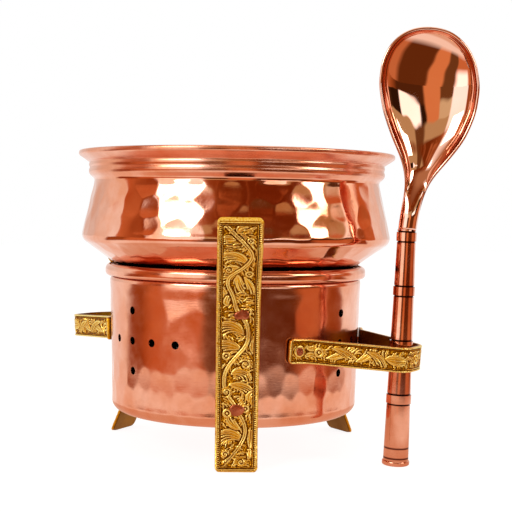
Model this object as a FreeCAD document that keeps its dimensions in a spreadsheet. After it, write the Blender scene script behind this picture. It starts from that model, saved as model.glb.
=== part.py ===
import FreeCAD, Part
import math
import os
import re
import Sketcher
from FreeCAD import Placement, Rotation, Vector

# Soup kettle: a hammered copper bowl on a copper stove drum with three brass legs and two brass
# strap handles. A fuel cup stands in the drum and a copper spoon stands in the right handle.
# Millimetres, +Z up. The origin lies on the drum's axis at table height and the front leg is at -Y.

SIZES = {
    # Sheet and strap gauges
    "sheet": 1.2,
    "liner_sheet": 0.7,
    "liner_gap": 0.1,
    "strap": 2.1,
    "seat_gap": 0.1,
    "rest_gap": 0.38,
    # Stove drum
    "drum_radius": 66.0,
    "drum_foot_radius": 64.3,
    "drum_floor": 18.5,
    "drum_height": 76.4,
    "drum_corner": 5.5,
    "bead_radius": 3.1,
    "bead_flat": 0.4,
    "bead_tuck": 2.0,
    "bead_inset": 0.6,
    "bead_neck": 1.5,
    "bead_bend": 2.5,
    "wire_gap": 0.15,
    # Vents in the drum wall
    "vent_radius": 2.0,
    "vent_pitch": 14.2,
    "vent_rise": 15.0,
    "vent_height": 58.0,
    "vent_turn": 52.3,
    # Bowl
    "base_radius": 46.0,
    "base_bend": 10.0,
    "cone_angle": 36.0,
    "belly_radius": 81.5,
    "belly_bend": 5.0,
    "shoulder_height": 30.6,
    "throat_radius": 74.6,
    "throat_bend": 2.0,
    "collar_radius": 77.6,
    "collar_rise": 3.0,
    "collar_bend": 2.6,
    "collar_height": 6.0,
    "lip_bend": 1.5,
    "lip_rise": 2.3,
    "rim_radius": 82.8,
    "rim_height": 3.4,
    "rim_bend": 1.6,
    "rim_turn": 3.0,
    # Legs
    "leg_width": 20.2,
    "leg_spread": 0.6,
    "leg_top": 120.3,
    "leg_corner": 2.6,
    "foot_radius": 70.2,
    "foot_bend": 14.0,
    "ankle_height": 13.0,
    "knee_height": 80.0,
    "knee_bend": 14.0,
    "bead_clearance": 0.5,
    "waist_bend": 8.0,
    "bowl_clearance": 1.0,
    "cradle_bend": 8.0,
    "low_rivet_height": 28.5,
    "high_rivet_height": 74.0,
    # Carved panel let into the legs and handles
    "panel_border": 1.8,
    "panel_depth": 0.6,
    "panel_corner": 1.4,
    # Handles
    "handle_angle": 56.0,
    "handle_spread": 29.5,
    "handle_droop": 4.0,
    "tab_gap": 0.3,
    "right_handle_height": 55.5,
    "left_handle_height": 59.0,
    "handle_depth": 12.0,
    "handle_reach": 105.0,
    "handle_gap": 17.0,
    "handle_bend": 8.0,
    "handle_root_bend": 5.0,
    "tab_in": 5.0,
    "tab_out": 5.5,
    # Rivets and their burrs
    "rivet_radius": 1.5,
    "rivet_clearance": 0.1,
    "leg_head_radius": 3.9,
    "handle_head_radius": 2.2,
    "head_height": 1.2,
    "head_bend": 0.9,
    "burr_radius": 3.6,
    "burr_sheet": 0.8,
    "burr_gap": 0.15,
    "tail_radius": 2.4,
    "tail_height": 1.2,
    # Fuel cup
    "cup_radius": 31.0,
    "cup_height": 30.0,
    "cup_sheet": 0.8,
    "cup_bend": 4.0,
    "cup_lip": 2.6,
    # Spoon
    "spoon_lean": 1.7,
    "tube_end_radius": 6.2,
    "tube_top_radius": 4.4,
    "tube_wall": 1.0,
    "collar_step": 0.35,
    "spoon_collar": 4.2,
    "spoon_groove": 0.7,
    "groove_depth": 0.45,
    "node_pitch": 26.4,
    "node_first": 30.5,
    "node_count": 4,
    "cap_height": 2.5,
    "cap_radius": 6.7,
    "cap_bend": 0.8,
    "plug_length": 6.0,
    "plug_gap": 0.1,
    "tang_length": 14.0,
    "head_length": 97.0,
    "head_half_width": 24.9,
    "head_hollow": 12.5,
    "head_shift": 7.6,
    "head_wall": 1.3,
    "brim_rise": 0.3,
}

doc = FreeCAD.newDocument("soup_kettle")
sheet = doc.addObject("Spreadsheet::Sheet", "Sizes")
for row, (alias, number) in enumerate(SIZES.items(), 1):
    sheet.set(f"A{row}", alias)
    sheet.set(f"B{row}", str(number))
    sheet.setAlias(f"B{row}", alias)
doc.recompute()

NODES = []
WORD = re.compile(r"[a-z_]+")


def bound(text):
    """The expression with every named size pointed at its cell."""
    return WORD.sub(lambda m: "Sizes." + m.group(0) if m.group(0) in SIZES else m.group(0), text)


def size(text):
    """The present value of an expression on the sheet."""
    return float(sheet.evalExpression(bound(text)))


def bind(item, field, text):
    item.setExpression(field, bound(text))


def node(item, label, place=None):
    """Name a finished sub-part and put it in its place."""
    item.Label = label
    if place is not None:
        item.Placement = place
    NODES.append(item)
    return item


PLANES = {
    "side": Rotation(Vector(1, 0, 0), 90),
    "plan": Rotation(),
    "front": Rotation(Vector(1, 1, 1), 120),
}


def pin(sketch, geo, end, name, across, up):
    """Hold one point of a sketch at two expressions."""
    for kind, axis, text in (("DistanceX", -2, across), ("DistanceY", -1, up)):
        value = size(text)
        if abs(value) < 1e-9:
            sketch.addConstraint(Sketcher.Constraint("PointOnObject", geo, end, axis))
            continue
        pair = (-1, 1, geo, end) if value > 0 else (geo, end, -1, 1)
        index = sketch.addConstraint(Sketcher.Constraint(kind, *pair, abs(value)))
        label = f"{name}_{kind[-1].lower()}"
        sketch.renameConstraint(index, label)
        bind(sketch, f"Constraints.{label}", text if value > 0 else f"-({text})")


def outline(name, corners, plane, closed=False):
    """Straight lines through named corners, each rounded to its own bend radius or left sharp."""
    sketch = doc.addObject("Sketcher::SketchObject", name)
    sketch.Placement = Placement(Vector(), PLANES[plane])
    points = [Vector(size(c[1]), size(c[2]), 0) for c in corners]
    count = len(corners)
    arcs = {}
    for i, (label, across, up, bend) in enumerate(corners):
        if bend is None or (not closed and i in (0, count - 1)):
            continue
        here = points[i]
        back = (points[i - 1] - here).normalize()
        ahead = (points[(i + 1) % count] - here).normalize()
        radius = size(bend)
        half = back.getAngle(ahead) / 2
        start = here + back * (radius / math.tan(half))
        stop = here + ahead * (radius / math.tan(half))
        centre = here + (back + ahead).normalize() * (radius / math.sin(half))
        left = (here - start).cross(stop - here).z > 0
        first, last = (start, stop) if left else (stop, start)
        a = math.atan2(first.y - centre.y, first.x - centre.x)
        b = math.atan2(last.y - centre.y, last.x - centre.x)
        b += 2 * math.pi if b < a else 0
        circle = Part.Circle(centre, Vector(0, 0, 1), radius)
        arcs[i] = (start, stop, Part.ArcOfCircle(circle, a, b), left)
    lines = []
    for i in range(count if closed else count - 1):
        j = (i + 1) % count
        begin = arcs[i][1] if i in arcs else points[i]
        finish = arcs[j][0] if j in arcs else points[j]
        lines.append(sketch.addGeometry(Part.LineSegment(begin, finish)))
    for i, (label, across, up, bend) in enumerate(corners):
        inner = closed or 0 < i < count - 1
        if i in arcs:
            start, stop, curve, left = arcs[i]
            arc = sketch.addGeometry(curve)
            spot = sketch.addGeometry(Part.Point(points[i]), True)
            before, after = (1, 2) if left else (2, 1)
            sketch.addConstraint(Sketcher.Constraint("Tangent", lines[i - 1], 2, arc, before))
            sketch.addConstraint(Sketcher.Constraint("Tangent", arc, after, lines[i], 1))
            sketch.addConstraint(Sketcher.Constraint("PointOnObject", spot, 1, lines[i - 1]))
            sketch.addConstraint(Sketcher.Constraint("PointOnObject", spot, 1, lines[i]))
            pin(sketch, spot, 1, label, across, up)
            index = sketch.addConstraint(Sketcher.Constraint("Radius", arc, size(bend)))
            sketch.renameConstraint(index, f"{label}_bend")
            bind(sketch, f"Constraints.{label}_bend", bend)
        elif inner:
            sketch.addConstraint(Sketcher.Constraint("Coincident", lines[i - 1], 2, lines[i], 1))
            pin(sketch, lines[i], 1, label, across, up)
        elif i == 0:
            pin(sketch, lines[0], 1, label, across, up)
        else:
            pin(sketch, lines[-1], 2, label, across, up)
    return sketch


def offset(name, source, value, fill=True):
    item = doc.addObject("Part::Offset2D", name)
    item.Source = source
    item.Mode = "Skin"
    item.Join = "Intersection"
    item.Fill = fill
    item.Value = size(value)
    bind(item, "Value", value)
    return item


def turned(name, source):
    """Spin a section about the Z axis."""
    item = doc.addObject("Part::Revolution", name)
    item.Source = source
    item.Axis = Vector(0, 0, 1)
    item.Angle = 360
    item.Solid = True
    return item


def drawn(name, source, way, length):
    """Extrude a section by half the length to each side."""
    item = doc.addObject("Part::Extrusion", name)
    item.Base = source
    item.DirMode = "Custom"
    item.Dir = way
    item.Symmetric = True
    item.Solid = True
    bind(item, "LengthFwd", length)
    return item


def joined(kind, name, base, tool):
    item = doc.addObject(f"Part::{kind}", name)
    item.Base = base
    item.Tool = tool
    return item


def group(name, items):
    item = doc.addObject("Part::Compound", name)
    item.Links = items
    return item


def rod(name, radius, length, place):
    """A cylinder along the placed Z axis, centred on the place."""
    item = doc.addObject("Part::Cylinder", name)
    bind(item, "Radius", radius)
    bind(item, "Height", length)
    item.Placement = place * Placement(Vector(0, 0, -size(length) / 2), Rotation())
    return item


# Heights and slopes shared by several pieces
BEAD_RADIUS_AT = "(drum_radius - bead_inset)"
BEAD_HEIGHT = "(drum_floor + drum_height - bead_radius)"
NECK_HEIGHT = f"({BEAD_HEIGHT} - bead_radius - bead_neck)"
WALL_SLOPE = f"((drum_radius - drum_foot_radius) / ({NECK_HEIGHT} - drum_floor - sheet))"
BEAD_BEND = "(bead_radius - bead_flat / 2)"
BEAD_END = f"({BEAD_RADIUS_AT} + bead_radius - bead_tuck - bead_flat / 2)"
BASE_HEIGHT = (
    f"({BEAD_HEIGHT} + (bead_radius + rest_gap) / cos(cone_angle)"
    f" - ({BEAD_RADIUS_AT} - base_radius) * tan(cone_angle))"
)
BELLY_HEIGHT = f"({BASE_HEIGHT} + (belly_radius - base_radius) * tan(cone_angle))"
THROAT_HEIGHT = f"({BELLY_HEIGHT} + shoulder_height)"
COLLAR_HEIGHT = f"({THROAT_HEIGHT} + collar_rise)"
LIP_HEIGHT = f"({COLLAR_HEIGHT} + collar_height)"
RIM_HEIGHT = f"({LIP_HEIGHT} + lip_rise + rim_height)"


def wall_at(height):
    """Expression of the drum's outer radius at a height."""
    return f"(drum_foot_radius + (({height}) - drum_floor - sheet) * {WALL_SLOPE})"


TAPER = math.degrees(math.atan(size(WALL_SLOPE)))


def on_wall(height, turn):
    """A place on the drum's outer face: X along the wall's normal, turned from the front leg."""
    spin = Placement(Vector(), Rotation(Vector(0, 0, 1), turn - 90))
    seat = Placement(Vector(size(wall_at(height)), 0, size(height)), Rotation(Vector(0, 1, 0), TAPER))
    return spin * seat


def handle_place(height, turn):
    """A handle's own frame, its loop drooping from the wall and its axis kept over the drum's."""
    wall = size(wall_at(height))
    spin = Placement(Vector(), Rotation(Vector(0, 0, 1), turn - 90))
    hang = Placement(Vector(wall, 0, size(height)), Rotation(Vector(0, 1, 0), size("handle_droop")))
    return spin * hang * Placement(Vector(-wall, 0, 0), Rotation())


ALONG_X = Placement(Vector(), Rotation(Vector(0, 1, 0), 90))
RIGHT_TURN = size("handle_angle")
LEFT_TURN = RIGHT_TURN + 180
LEGS = {"front": 0, "right_rear": 120, "left_rear": 240}
HANDLES = {
    "right": ("right_handle_height", RIGHT_TURN),
    "left": ("left_handle_height", LEFT_TURN),
}

# Every rivet: the piece it holds, its place on the wall, its head's radius and the gap it closes
RIVETS = []
for leg, turn in LEGS.items():
    for height in ("low_rivet_height", "high_rivet_height"):
        RIVETS.append((f"{leg}_leg", on_wall(height, turn), "leg_head_radius", "seat_gap"))
for handle, (height, turn) in HANDLES.items():
    for side in (-1, 1):
        spin = Placement(Vector(), Rotation(Vector(0, 0, 1), side * size("handle_spread")))
        reach = Placement(Vector(size(wall_at(height)), 0, 0), Rotation())
        place = handle_place(height, turn) * spin * reach
        RIVETS.append((f"{handle}_handle", place, "handle_head_radius", "tab_gap"))

# Stove drum: spun floor and wall with a rim rolled outwards over a wire
drum_path = outline("drum_path", [
    ("centre", "0", "drum_floor + sheet", None),
    ("corner", "drum_foot_radius - sheet", "drum_floor + sheet", "drum_corner - sheet"),
    ("neck", "drum_radius - sheet", NECK_HEIGHT, "bead_bend"),
    ("throat", f"{BEAD_RADIUS_AT} - bead_radius", f"{NECK_HEIGHT} + bead_bend", "bead_bend"),
    ("inside", f"{BEAD_RADIUS_AT} - bead_radius", f"{BEAD_HEIGHT} + bead_radius", BEAD_BEND),
    ("outside", f"{BEAD_RADIUS_AT} + bead_radius", f"{BEAD_HEIGHT} + bead_radius", BEAD_BEND),
    ("under", f"{BEAD_RADIUS_AT} + bead_radius", f"{BEAD_HEIGHT} - bead_radius", "bead_tuck"),
    ("end", BEAD_END, f"{BEAD_HEIGHT} - bead_radius", None),
], "side")
drum_blank = turned("drum_blank", offset("drum_section", drum_path, "-sheet"))

# Vents: upright rows of three crossed by level rows, of four where no handle is in the way
drills = []
vent_step = math.degrees(size("vent_pitch") / size(wall_at("vent_height")))
CROSSES = (
    (size("vent_turn"), (-1, 0, 1)),
    (-size("vent_turn"), (-1, 0, 1, 2)),
    (180, (-2, -1, 0, 1)),
)
for cross, (turn, steps) in enumerate(CROSSES):
    spots = [("vent_height", turn + step * vent_step) for step in steps]
    spots += [("vent_height + vent_rise", turn), ("vent_height - vent_rise", turn)]
    for number, (height, angle) in enumerate(spots):
        place = on_wall(height, angle) * ALONG_X
        drills.append(rod(f"vent_{cross}_{number}", "vent_radius", "10 * sheet", place))
for number, (owner, place, head, gap) in enumerate(RIVETS):
    drills.append(
        rod(f"wall_drill_{number}", "rivet_radius + rivet_clearance", "10 * sheet", place * ALONG_X))
node(joined("Cut", "drum", drum_blank, group("drum_drills", drills)), "drum_shell")

wire = doc.addObject("Part::Torus", "wire")
bind(wire, "Radius1", BEAD_RADIUS_AT)
bind(wire, "Radius2", "bead_radius - sheet - wire_gap")
node(wire, "rim_wire", Placement(Vector(0, 0, size(BEAD_HEIGHT)), Rotation()))

# Bowl: raised copper skin whose rim folds over the edge of a steel liner
BOWL = [
    ("centre", "0", BASE_HEIGHT, None),
    ("base", "base_radius", BASE_HEIGHT, "base_bend"),
    ("belly", "belly_radius", BELLY_HEIGHT, "belly_bend"),
    ("throat", "throat_radius", THROAT_HEIGHT, "throat_bend"),
    ("collar", "collar_radius", COLLAR_HEIGHT, "collar_bend"),
    ("lip", "collar_radius", LIP_HEIGHT, "lip_bend"),
]
RIM = [
    ("tip", "rim_radius", f"{LIP_HEIGHT} + lip_rise", "rim_bend"),
    ("rim", "rim_radius", RIM_HEIGHT, "rim_bend"),
    ("fold", "rim_radius - rim_turn", RIM_HEIGHT, None),
]
LIP_RUN = "(rim_radius - rim_turn - collar_radius)"
LIP_SLOPE = "(lip_rise / (rim_radius - collar_radius))"
EDGE = ("edge", "rim_radius - rim_turn", f"{LIP_HEIGHT} + {LIP_RUN} * {LIP_SLOPE}", None)

bowl_path = outline("bowl_path", BOWL + RIM, "side")
node(turned("bowl_skin", offset("bowl_section", bowl_path, "sheet")), "bowl_shell")
liner_path = outline("liner_path", BOWL + [EDGE], "side")
liner_face = offset("liner_face", liner_path, "sheet + liner_gap", False)
node(turned("liner", offset("liner_section", liner_face, "liner_sheet")), "bowl_liner")

# Legs: brass strip bent over the rim bead to cradle the bowl, with a sunk panel for the carving
LEG_FACE = f"({wall_at('ankle_height')} + seat_gap)"
KNEE_FACE = f"({wall_at('knee_height')} + seat_gap)"
BEAD_FACE = f"({BEAD_RADIUS_AT} + bead_radius + bead_clearance)"
CRADLE_FACE = "(belly_radius + bowl_clearance)"
leg_path = outline("leg_path", [
    ("toe", f"2 * foot_radius - {LEG_FACE}", "-ankle_height", None),
    ("ankle", LEG_FACE, "ankle_height", "foot_bend"),
    ("knee", KNEE_FACE, "knee_height", "knee_bend"),
    ("waist", BEAD_FACE, BEAD_HEIGHT, "waist_bend"),
    ("cradle", CRADLE_FACE, BELLY_HEIGHT, "cradle_bend"),
    ("top", CRADLE_FACE, "leg_top + leg_width", None),
], "side")


def leg_outline(name, inset, corner):
    """The leg as seen from the front, a little wider at the top, less an inset all round."""
    low = f"leg_width / 2 - ({inset})"
    high = f"leg_width / 2 + leg_spread - ({inset})"
    return outline(name, [
        ("foot_a", f"-({low})", inset, corner),
        ("foot_b", low, inset, corner),
        ("top_b", high, f"leg_top - ({inset})", corner),
        ("top_a", f"-({high})", f"leg_top - ({inset})", corner),
    ], "front", True)


def strip(name, path, way, length, view, start, thick):
    """Strap of one thickness along a path, trimmed to the outline seen from the front."""
    face = path
    if start:
        face = offset(f"{name}_face", path, start, False)
    band = drawn(f"{name}_band", offset(f"{name}_section", face, thick), way, length)
    if view is None:
        return band
    mask = drawn(f"{name}_mask", view, Vector(1, 0, 0), "8 * drum_radius")
    return joined("Common", f"{name}_trim", band, mask)


SIDEWAYS = Vector(0, 1, 0)
leg_front = leg_outline("leg_front", "0", "leg_corner")
panel_front = leg_outline("leg_panel_front", "panel_border", "panel_corner")
leg_span = "2 * leg_width"
for leg, turn in LEGS.items():
    blank = strip(f"{leg}_leg_blank", leg_path, SIDEWAYS, leg_span, leg_front, "", "-strap")
    panel = strip(f"{leg}_leg_panel", leg_path, SIDEWAYS, leg_span, panel_front,
                  "-(strap - panel_depth)", "-2 * panel_depth")
    holes = [panel]
    for number, height in enumerate(("low_rivet_height", "high_rivet_height")):
        place = on_wall(height, 90) * ALONG_X
        holes.append(rod(f"{leg}_leg_drill_{number}", "rivet_radius + rivet_clearance", "6 * strap", place))
    cut = joined("Cut", f"{leg}_leg_body", blank, group(f"{leg}_leg_cuts", holes))
    node(cut, f"{leg}_leg", Placement(Vector(), Rotation(Vector(0, 0, 1), turn - 90)))

# Handles: brass strap bent to a loop, its two tabs riveted to the drum wall
for handle, (height, turn) in HANDLES.items():
    face = f"({wall_at(height)} + tab_gap)"
    rivet_x = f"{face} * cos(handle_spread)"
    rivet_y = f"{face} * sin(handle_spread)"
    end_x = f"{rivet_x} - tab_out * sin(handle_spread)"
    end_y = f"({rivet_y} + tab_out * cos(handle_spread))"
    root_x = f"{rivet_x} + tab_in * sin(handle_spread)"
    root_y = f"({rivet_y} - tab_in * cos(handle_spread))"
    loop = outline(f"{handle}_handle_path", [
        ("end_a", end_x, end_y, None),
        ("root_a", root_x, root_y, "handle_root_bend"),
        ("corner_a", "handle_reach - strap", "handle_gap / 2", "handle_bend"),
        ("corner_b", "handle_reach - strap", "-handle_gap / 2", "handle_bend"),
        ("root_b", root_x, f"-{root_y}", "handle_root_bend"),
        ("end_b", end_x, f"-{end_y}", None),
    ], "plan")
    up = Vector(0, 0, 1)
    blank = strip(f"{handle}_handle_blank", loop, up, "handle_depth", None, "", "-strap")
    panel = strip(f"{handle}_handle_panel", loop, up, "handle_depth - 2 * panel_border", None,
                  "-(strap - panel_depth)", "-2 * panel_depth")
    cuts = [panel]
    for side in (-1, 1):
        spin = Placement(Vector(), Rotation(up, side * size("handle_spread")))
        cuts.append(rod(f"{handle}_handle_drill_{side + 1}", "rivet_radius + rivet_clearance",
                        "2 * handle_reach + 8 * strap", spin * ALONG_X))
    body = joined("Cut", f"{handle}_handle_body", blank, group(f"{handle}_handle_cuts", cuts))
    node(body, f"{handle}_handle", handle_place(height, turn))

# Rivets: shank through strap, wall and burr, with a hammered head outside and a closed tail inside
BURR_FACE = "(sheet + burr_gap)"
TAIL_FACE = f"({BURR_FACE} + burr_sheet + burr_gap)"
sets = {}
burrs = {"leg": [], "handle": []}
for number, (owner, place, head, gap) in enumerate(RIVETS):
    grip = f"({gap} + strap - panel_depth + rivet_clearance)"
    section = outline(f"rivet_section_{number}", [
        ("tail_axis", "0", f"-({TAIL_FACE} + tail_height)", None),
        ("tail_edge", "tail_radius", f"-({TAIL_FACE} + tail_height)", "head_bend"),
        ("tail_face", "tail_radius", f"-{TAIL_FACE}", None),
        ("shank_in", "rivet_radius", f"-{TAIL_FACE}", None),
        ("shank_out", "rivet_radius", grip, None),
        ("head_face", head, grip, None),
        ("head_edge", head, f"{grip} + head_height", "head_bend"),
        ("head_axis", "0", f"{grip} + head_height", None),
    ], "side", True)
    rivet = turned(f"rivet_{number}", section)
    rivet.Placement = place * ALONG_X
    sets.setdefault(owner, []).append(rivet)
    ring = outline(f"burr_section_{number}", [
        ("in_low", "rivet_radius + rivet_clearance", f"-({BURR_FACE} + burr_sheet)", None),
        ("out_low", "burr_radius", f"-({BURR_FACE} + burr_sheet)", None),
        ("out_high", "burr_radius", f"-{BURR_FACE}", None),
        ("in_high", "rivet_radius + rivet_clearance", f"-{BURR_FACE}", None),
    ], "side", True)
    burr = turned(f"burr_{number}", ring)
    burr.Placement = place * ALONG_X
    burrs[owner.split("_")[-1]].append(burr)
for owner, items in sets.items():
    node(group(f"{owner}_rivet_set", items), f"{owner}_rivets")
for owner, items in burrs.items():
    node(group(f"{owner}_burr_set", items), f"{owner}_rivet_burrs")

# Fuel cup on the drum floor, its rim turned out
CUP_FLOOR = "(drum_floor + sheet)"
cup_path = outline("cup_path", [
    ("centre", "0", CUP_FLOOR, None),
    ("corner", "cup_radius", CUP_FLOOR, "cup_bend"),
    ("rim", "cup_radius", f"{CUP_FLOOR} + cup_height", "cup_lip / 2"),
    ("edge", "cup_radius + cup_lip", f"{CUP_FLOOR} + cup_height", None),
], "side")
node(turned("cup", offset("cup_section", cup_path, "cup_sheet")), "fuel_cup")

# Spoon: its own axis rises from the table, and leans out into the right handle's loop
LEAN = size("spoon_lean")
TUBE_TOP = "(node_first + (node_count - 1) * node_pitch + spoon_collar + 2 * spoon_groove)"
TUBE_SLOPE = f"((tube_end_radius - tube_top_radius) / {TUBE_TOP})"
loop = handle_place("right_handle_height", 90)
loop_edge = loop.multVec(Vector(size("handle_reach - strap"), 0, size("-handle_depth / 2")))
ring_at_loop = size(f"tube_end_radius - {loop_edge.z} * {TUBE_SLOPE} + collar_step")
tube_reach = loop_edge.x - size("rest_gap") - ring_at_loop / math.cos(math.radians(LEAN))
foot_reach = tube_reach - loop_edge.z * math.tan(math.radians(LEAN))
foot_rise = size("cap_radius") * math.sin(math.radians(LEAN))
spoon_turn = Rotation(Vector(0, 0, 1), RIGHT_TURN - 90)
spoon_foot = spoon_turn.multVec(Vector(foot_reach, 0, foot_rise))
lean_axis = spoon_turn.multVec(Vector(0, 1, 0))
SPOON = Placement(spoon_foot, Rotation(lean_axis, LEAN))

tube_corners = [("bore_low", "tube_end_radius - tube_wall", "cap_height", None)]
tube_corners.append(("wall_low", "tube_end_radius", "cap_height", None))
for number in range(int(size("node_count"))):
    low = f"(node_first + {number} * node_pitch)"
    high = f"({low} + spoon_collar)"
    skin = f"(tube_end_radius - {low} * {TUBE_SLOPE})"
    tube_corners += [
        (f"groove_a{number}", skin, f"{low} - spoon_groove", None),
        (f"groove_b{number}", f"{skin} - groove_depth", f"{low} - spoon_groove / 2", None),
        (f"ring_a{number}", f"{skin} + collar_step", low, None),
        (f"ring_b{number}", f"{skin} + collar_step", high, None),
        (f"groove_c{number}", f"{skin} - groove_depth", f"{high} + spoon_groove / 2", None),
        (f"groove_d{number}", skin, f"{high} + spoon_groove", None),
    ]
tube_corners.append(("wall_high", "tube_top_radius", TUBE_TOP, None))
tube_corners.append(("bore_high", "tube_top_radius - tube_wall", TUBE_TOP, None))
tube = turned("tube", outline("tube_section", tube_corners, "side", True))
node(tube, "spoon_tube", SPOON)

cap = turned("cap", outline("cap_section", [
    ("floor", "0", "0", None),
    ("foot", "cap_radius", "0", "cap_bend"),
    ("brow", "cap_radius", "cap_height", "cap_bend"),
    ("root", "tube_end_radius - tube_wall - plug_gap", "cap_height", None),
    ("plug", "tube_end_radius - tube_wall - plug_gap", "cap_height + plug_length", None),
    ("top", "0", "cap_height + plug_length", None),
], "side", True))
node(cap, "spoon_end_cap", SPOON)

# Spoon head: ellipses along the neck and bowl, hollowed from the front and cut level at the brim
NECK = f"({TUBE_TOP} + plug_gap)"
HEAD = (
    # shares of the head's length, its half width, its depth, the way forward to its brim, its shift
    (0.00, None, None, 0.00, 0.00),
    (0.10, 0.182, 0.36, 0.00, 0.17),
    (0.18, 0.197, 0.37, 0.15, 0.36),
    (0.24, 0.230, 0.44, 0.50, 0.49),
    (0.34, 0.445, 0.72, 1.00, 0.83),
    (0.45, 0.715, 0.90, 1.00, 0.98),
    (0.58, 0.910, 0.99, 1.00, 0.97),
    (0.71, 0.985, 1.00, 1.00, 0.89),
    (0.82, 0.925, 0.90, 1.00, 0.82),
    (0.90, 0.775, 0.71, 1.00, 0.78),
    (0.955, 0.570, 0.49, 1.00, 0.76),
    (0.988, 0.325, 0.26, 1.00, 0.76),
    (0.999, 0.120, 0.12, 1.00, 0.76),
)
HOLLOW_START = (0.26, 0.16, 0.24, 0.90, 0.62)
HOLLOW_RINGS = (HOLLOW_START,) + HEAD[4:-1]


def ring(name, share, wide, deep, brim, shift, less):
    """One ellipse of the spoon's head, shrunk by a wall."""
    item = doc.addObject("Part::Ellipse", name)
    bind(item, "MajorRadius", "tube_top_radius" if wide is None else f"{wide} * head_half_width - {less}")
    bind(item, "MinorRadius", "tube_top_radius" if wide is None else f"{deep} * head_hollow - {less}")
    across = size(f"{shift} * head_shift")
    front = -size(f"{brim} * tube_top_radius")
    item.Placement = Placement(Vector(across, front, size(f"{NECK} + {share} * head_length")), Rotation())
    return item


def loft(name, rings):
    item = doc.addObject("Part::Loft", name)
    item.Sections = rings
    item.Solid = True
    return item


head_skin = loft("head_skin", [ring(f"head_ring_{i}", *h, "0") for i, h in enumerate(HEAD)])
hollow_rings = [ring(f"hollow_ring_{i}", *h, "head_wall") for i, h in enumerate(HOLLOW_RINGS)]
head_hollow = loft("head_hollow", hollow_rings)
front_box = doc.addObject("Part::Box", "front_box")
bind(front_box, "Length", "4 * head_half_width")
bind(front_box, "Width", "2 * head_half_width")
bind(front_box, "Height", "2 * head_length")
BRIM = "(tube_top_radius + brim_rise)"
front_box.Placement = Placement(
    Vector(-2 * size("head_half_width"), -size(f"{BRIM} + 2 * head_half_width"), size(NECK)),
    Rotation(),
)
head_half = joined("Cut", "head_half", head_skin, front_box)
head_cut = joined("Cut", "head_cut", head_half, head_hollow)
tang_place = Placement(Vector(0, 0, size(f"{NECK} + tang_length / 4 - tang_length / 2")), Rotation())
tang = rod("tang", "tube_top_radius - tube_wall - plug_gap", "tang_length", tang_place)
node(joined("Fuse", "head", head_cut, tang), "spoon_head", SPOON)

doc.recompute()
for item in doc.Objects:
    if "Invalid" in item.State or "Error" in item.State:
        raise RuntimeError(f"{item.Name} did not build: {item.State}")
for item in NODES:
    if item.Shape.isNull() or not item.Shape.isValid() or not item.Shape.Solids:
        raise RuntimeError(f"{item.Label} is not a valid solid")
os.makedirs("parts", exist_ok=True)
for item in NODES:
    item.Shape.exportStep(os.path.join("parts", f"{item.Label}.step"))
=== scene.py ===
import math

import bpy
import numpy as np
from mathutils import Matrix, Quaternion, Vector
from mathutils.kdtree import KDTree


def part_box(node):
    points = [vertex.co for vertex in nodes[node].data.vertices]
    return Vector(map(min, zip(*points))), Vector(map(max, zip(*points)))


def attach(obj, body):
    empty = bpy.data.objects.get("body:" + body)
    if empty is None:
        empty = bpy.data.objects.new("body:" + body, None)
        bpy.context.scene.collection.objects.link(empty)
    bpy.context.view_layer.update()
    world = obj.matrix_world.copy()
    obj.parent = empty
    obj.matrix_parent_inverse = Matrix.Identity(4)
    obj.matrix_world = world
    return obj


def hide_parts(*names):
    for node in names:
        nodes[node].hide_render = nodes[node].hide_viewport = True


# Soup kettle: hammered copper bowl and stove drum, carved brass legs and handles, a polished spoon.
# Metres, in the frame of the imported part: drum axis on Z, front leg at -Y, table at Z = 0.

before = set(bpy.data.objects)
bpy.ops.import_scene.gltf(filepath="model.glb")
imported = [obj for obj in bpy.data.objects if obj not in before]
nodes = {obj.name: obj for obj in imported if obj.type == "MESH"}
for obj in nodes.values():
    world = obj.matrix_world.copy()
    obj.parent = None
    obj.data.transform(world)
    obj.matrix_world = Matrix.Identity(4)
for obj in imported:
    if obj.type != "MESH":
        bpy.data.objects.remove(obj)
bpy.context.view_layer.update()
MM = 0.001
seed = np.random.default_rng(11)

# Driving sizes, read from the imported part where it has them
drum_low, drum_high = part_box("drum_shell")
bowl_low, bowl_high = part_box("bowl_shell")
leg_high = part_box("front_leg")[1]
SHEET = 1.2 * MM
STRAP = 2.1 * MM
BEAD_RADIUS = 3.1 * MM
BEAD_AT = drum_high.x - BEAD_RADIUS
BEAD_HEIGHT = drum_high.z - BEAD_RADIUS
DRUM_RADIUS = BEAD_AT + 0.6 * MM
DRUM_FOOT = 64.3 * MM
DRUM_FLOOR = drum_low.z
NECK_HEIGHT = BEAD_HEIGHT - BEAD_RADIUS - 1.5 * MM
WALL_SLOPE = (DRUM_RADIUS - DRUM_FOOT) / (NECK_HEIGHT - DRUM_FLOOR - SHEET)
LEG_TURNS = {"front": 0, "right_rear": 120, "left_rear": 240}
HANDLE_TURNS = {"right": 56, "left": 236}


def wall_at(height):
    """Outer radius of the drum's wall at a height."""
    return DRUM_FOOT + (height - DRUM_FLOOR - SHEET) * WALL_SLOPE


def turned(degrees):
    """Rotation that takes something built along +X to an angle counted from the front leg."""
    return Matrix.Rotation(math.radians(degrees - 90), 4, "Z")


# Shapes

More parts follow.
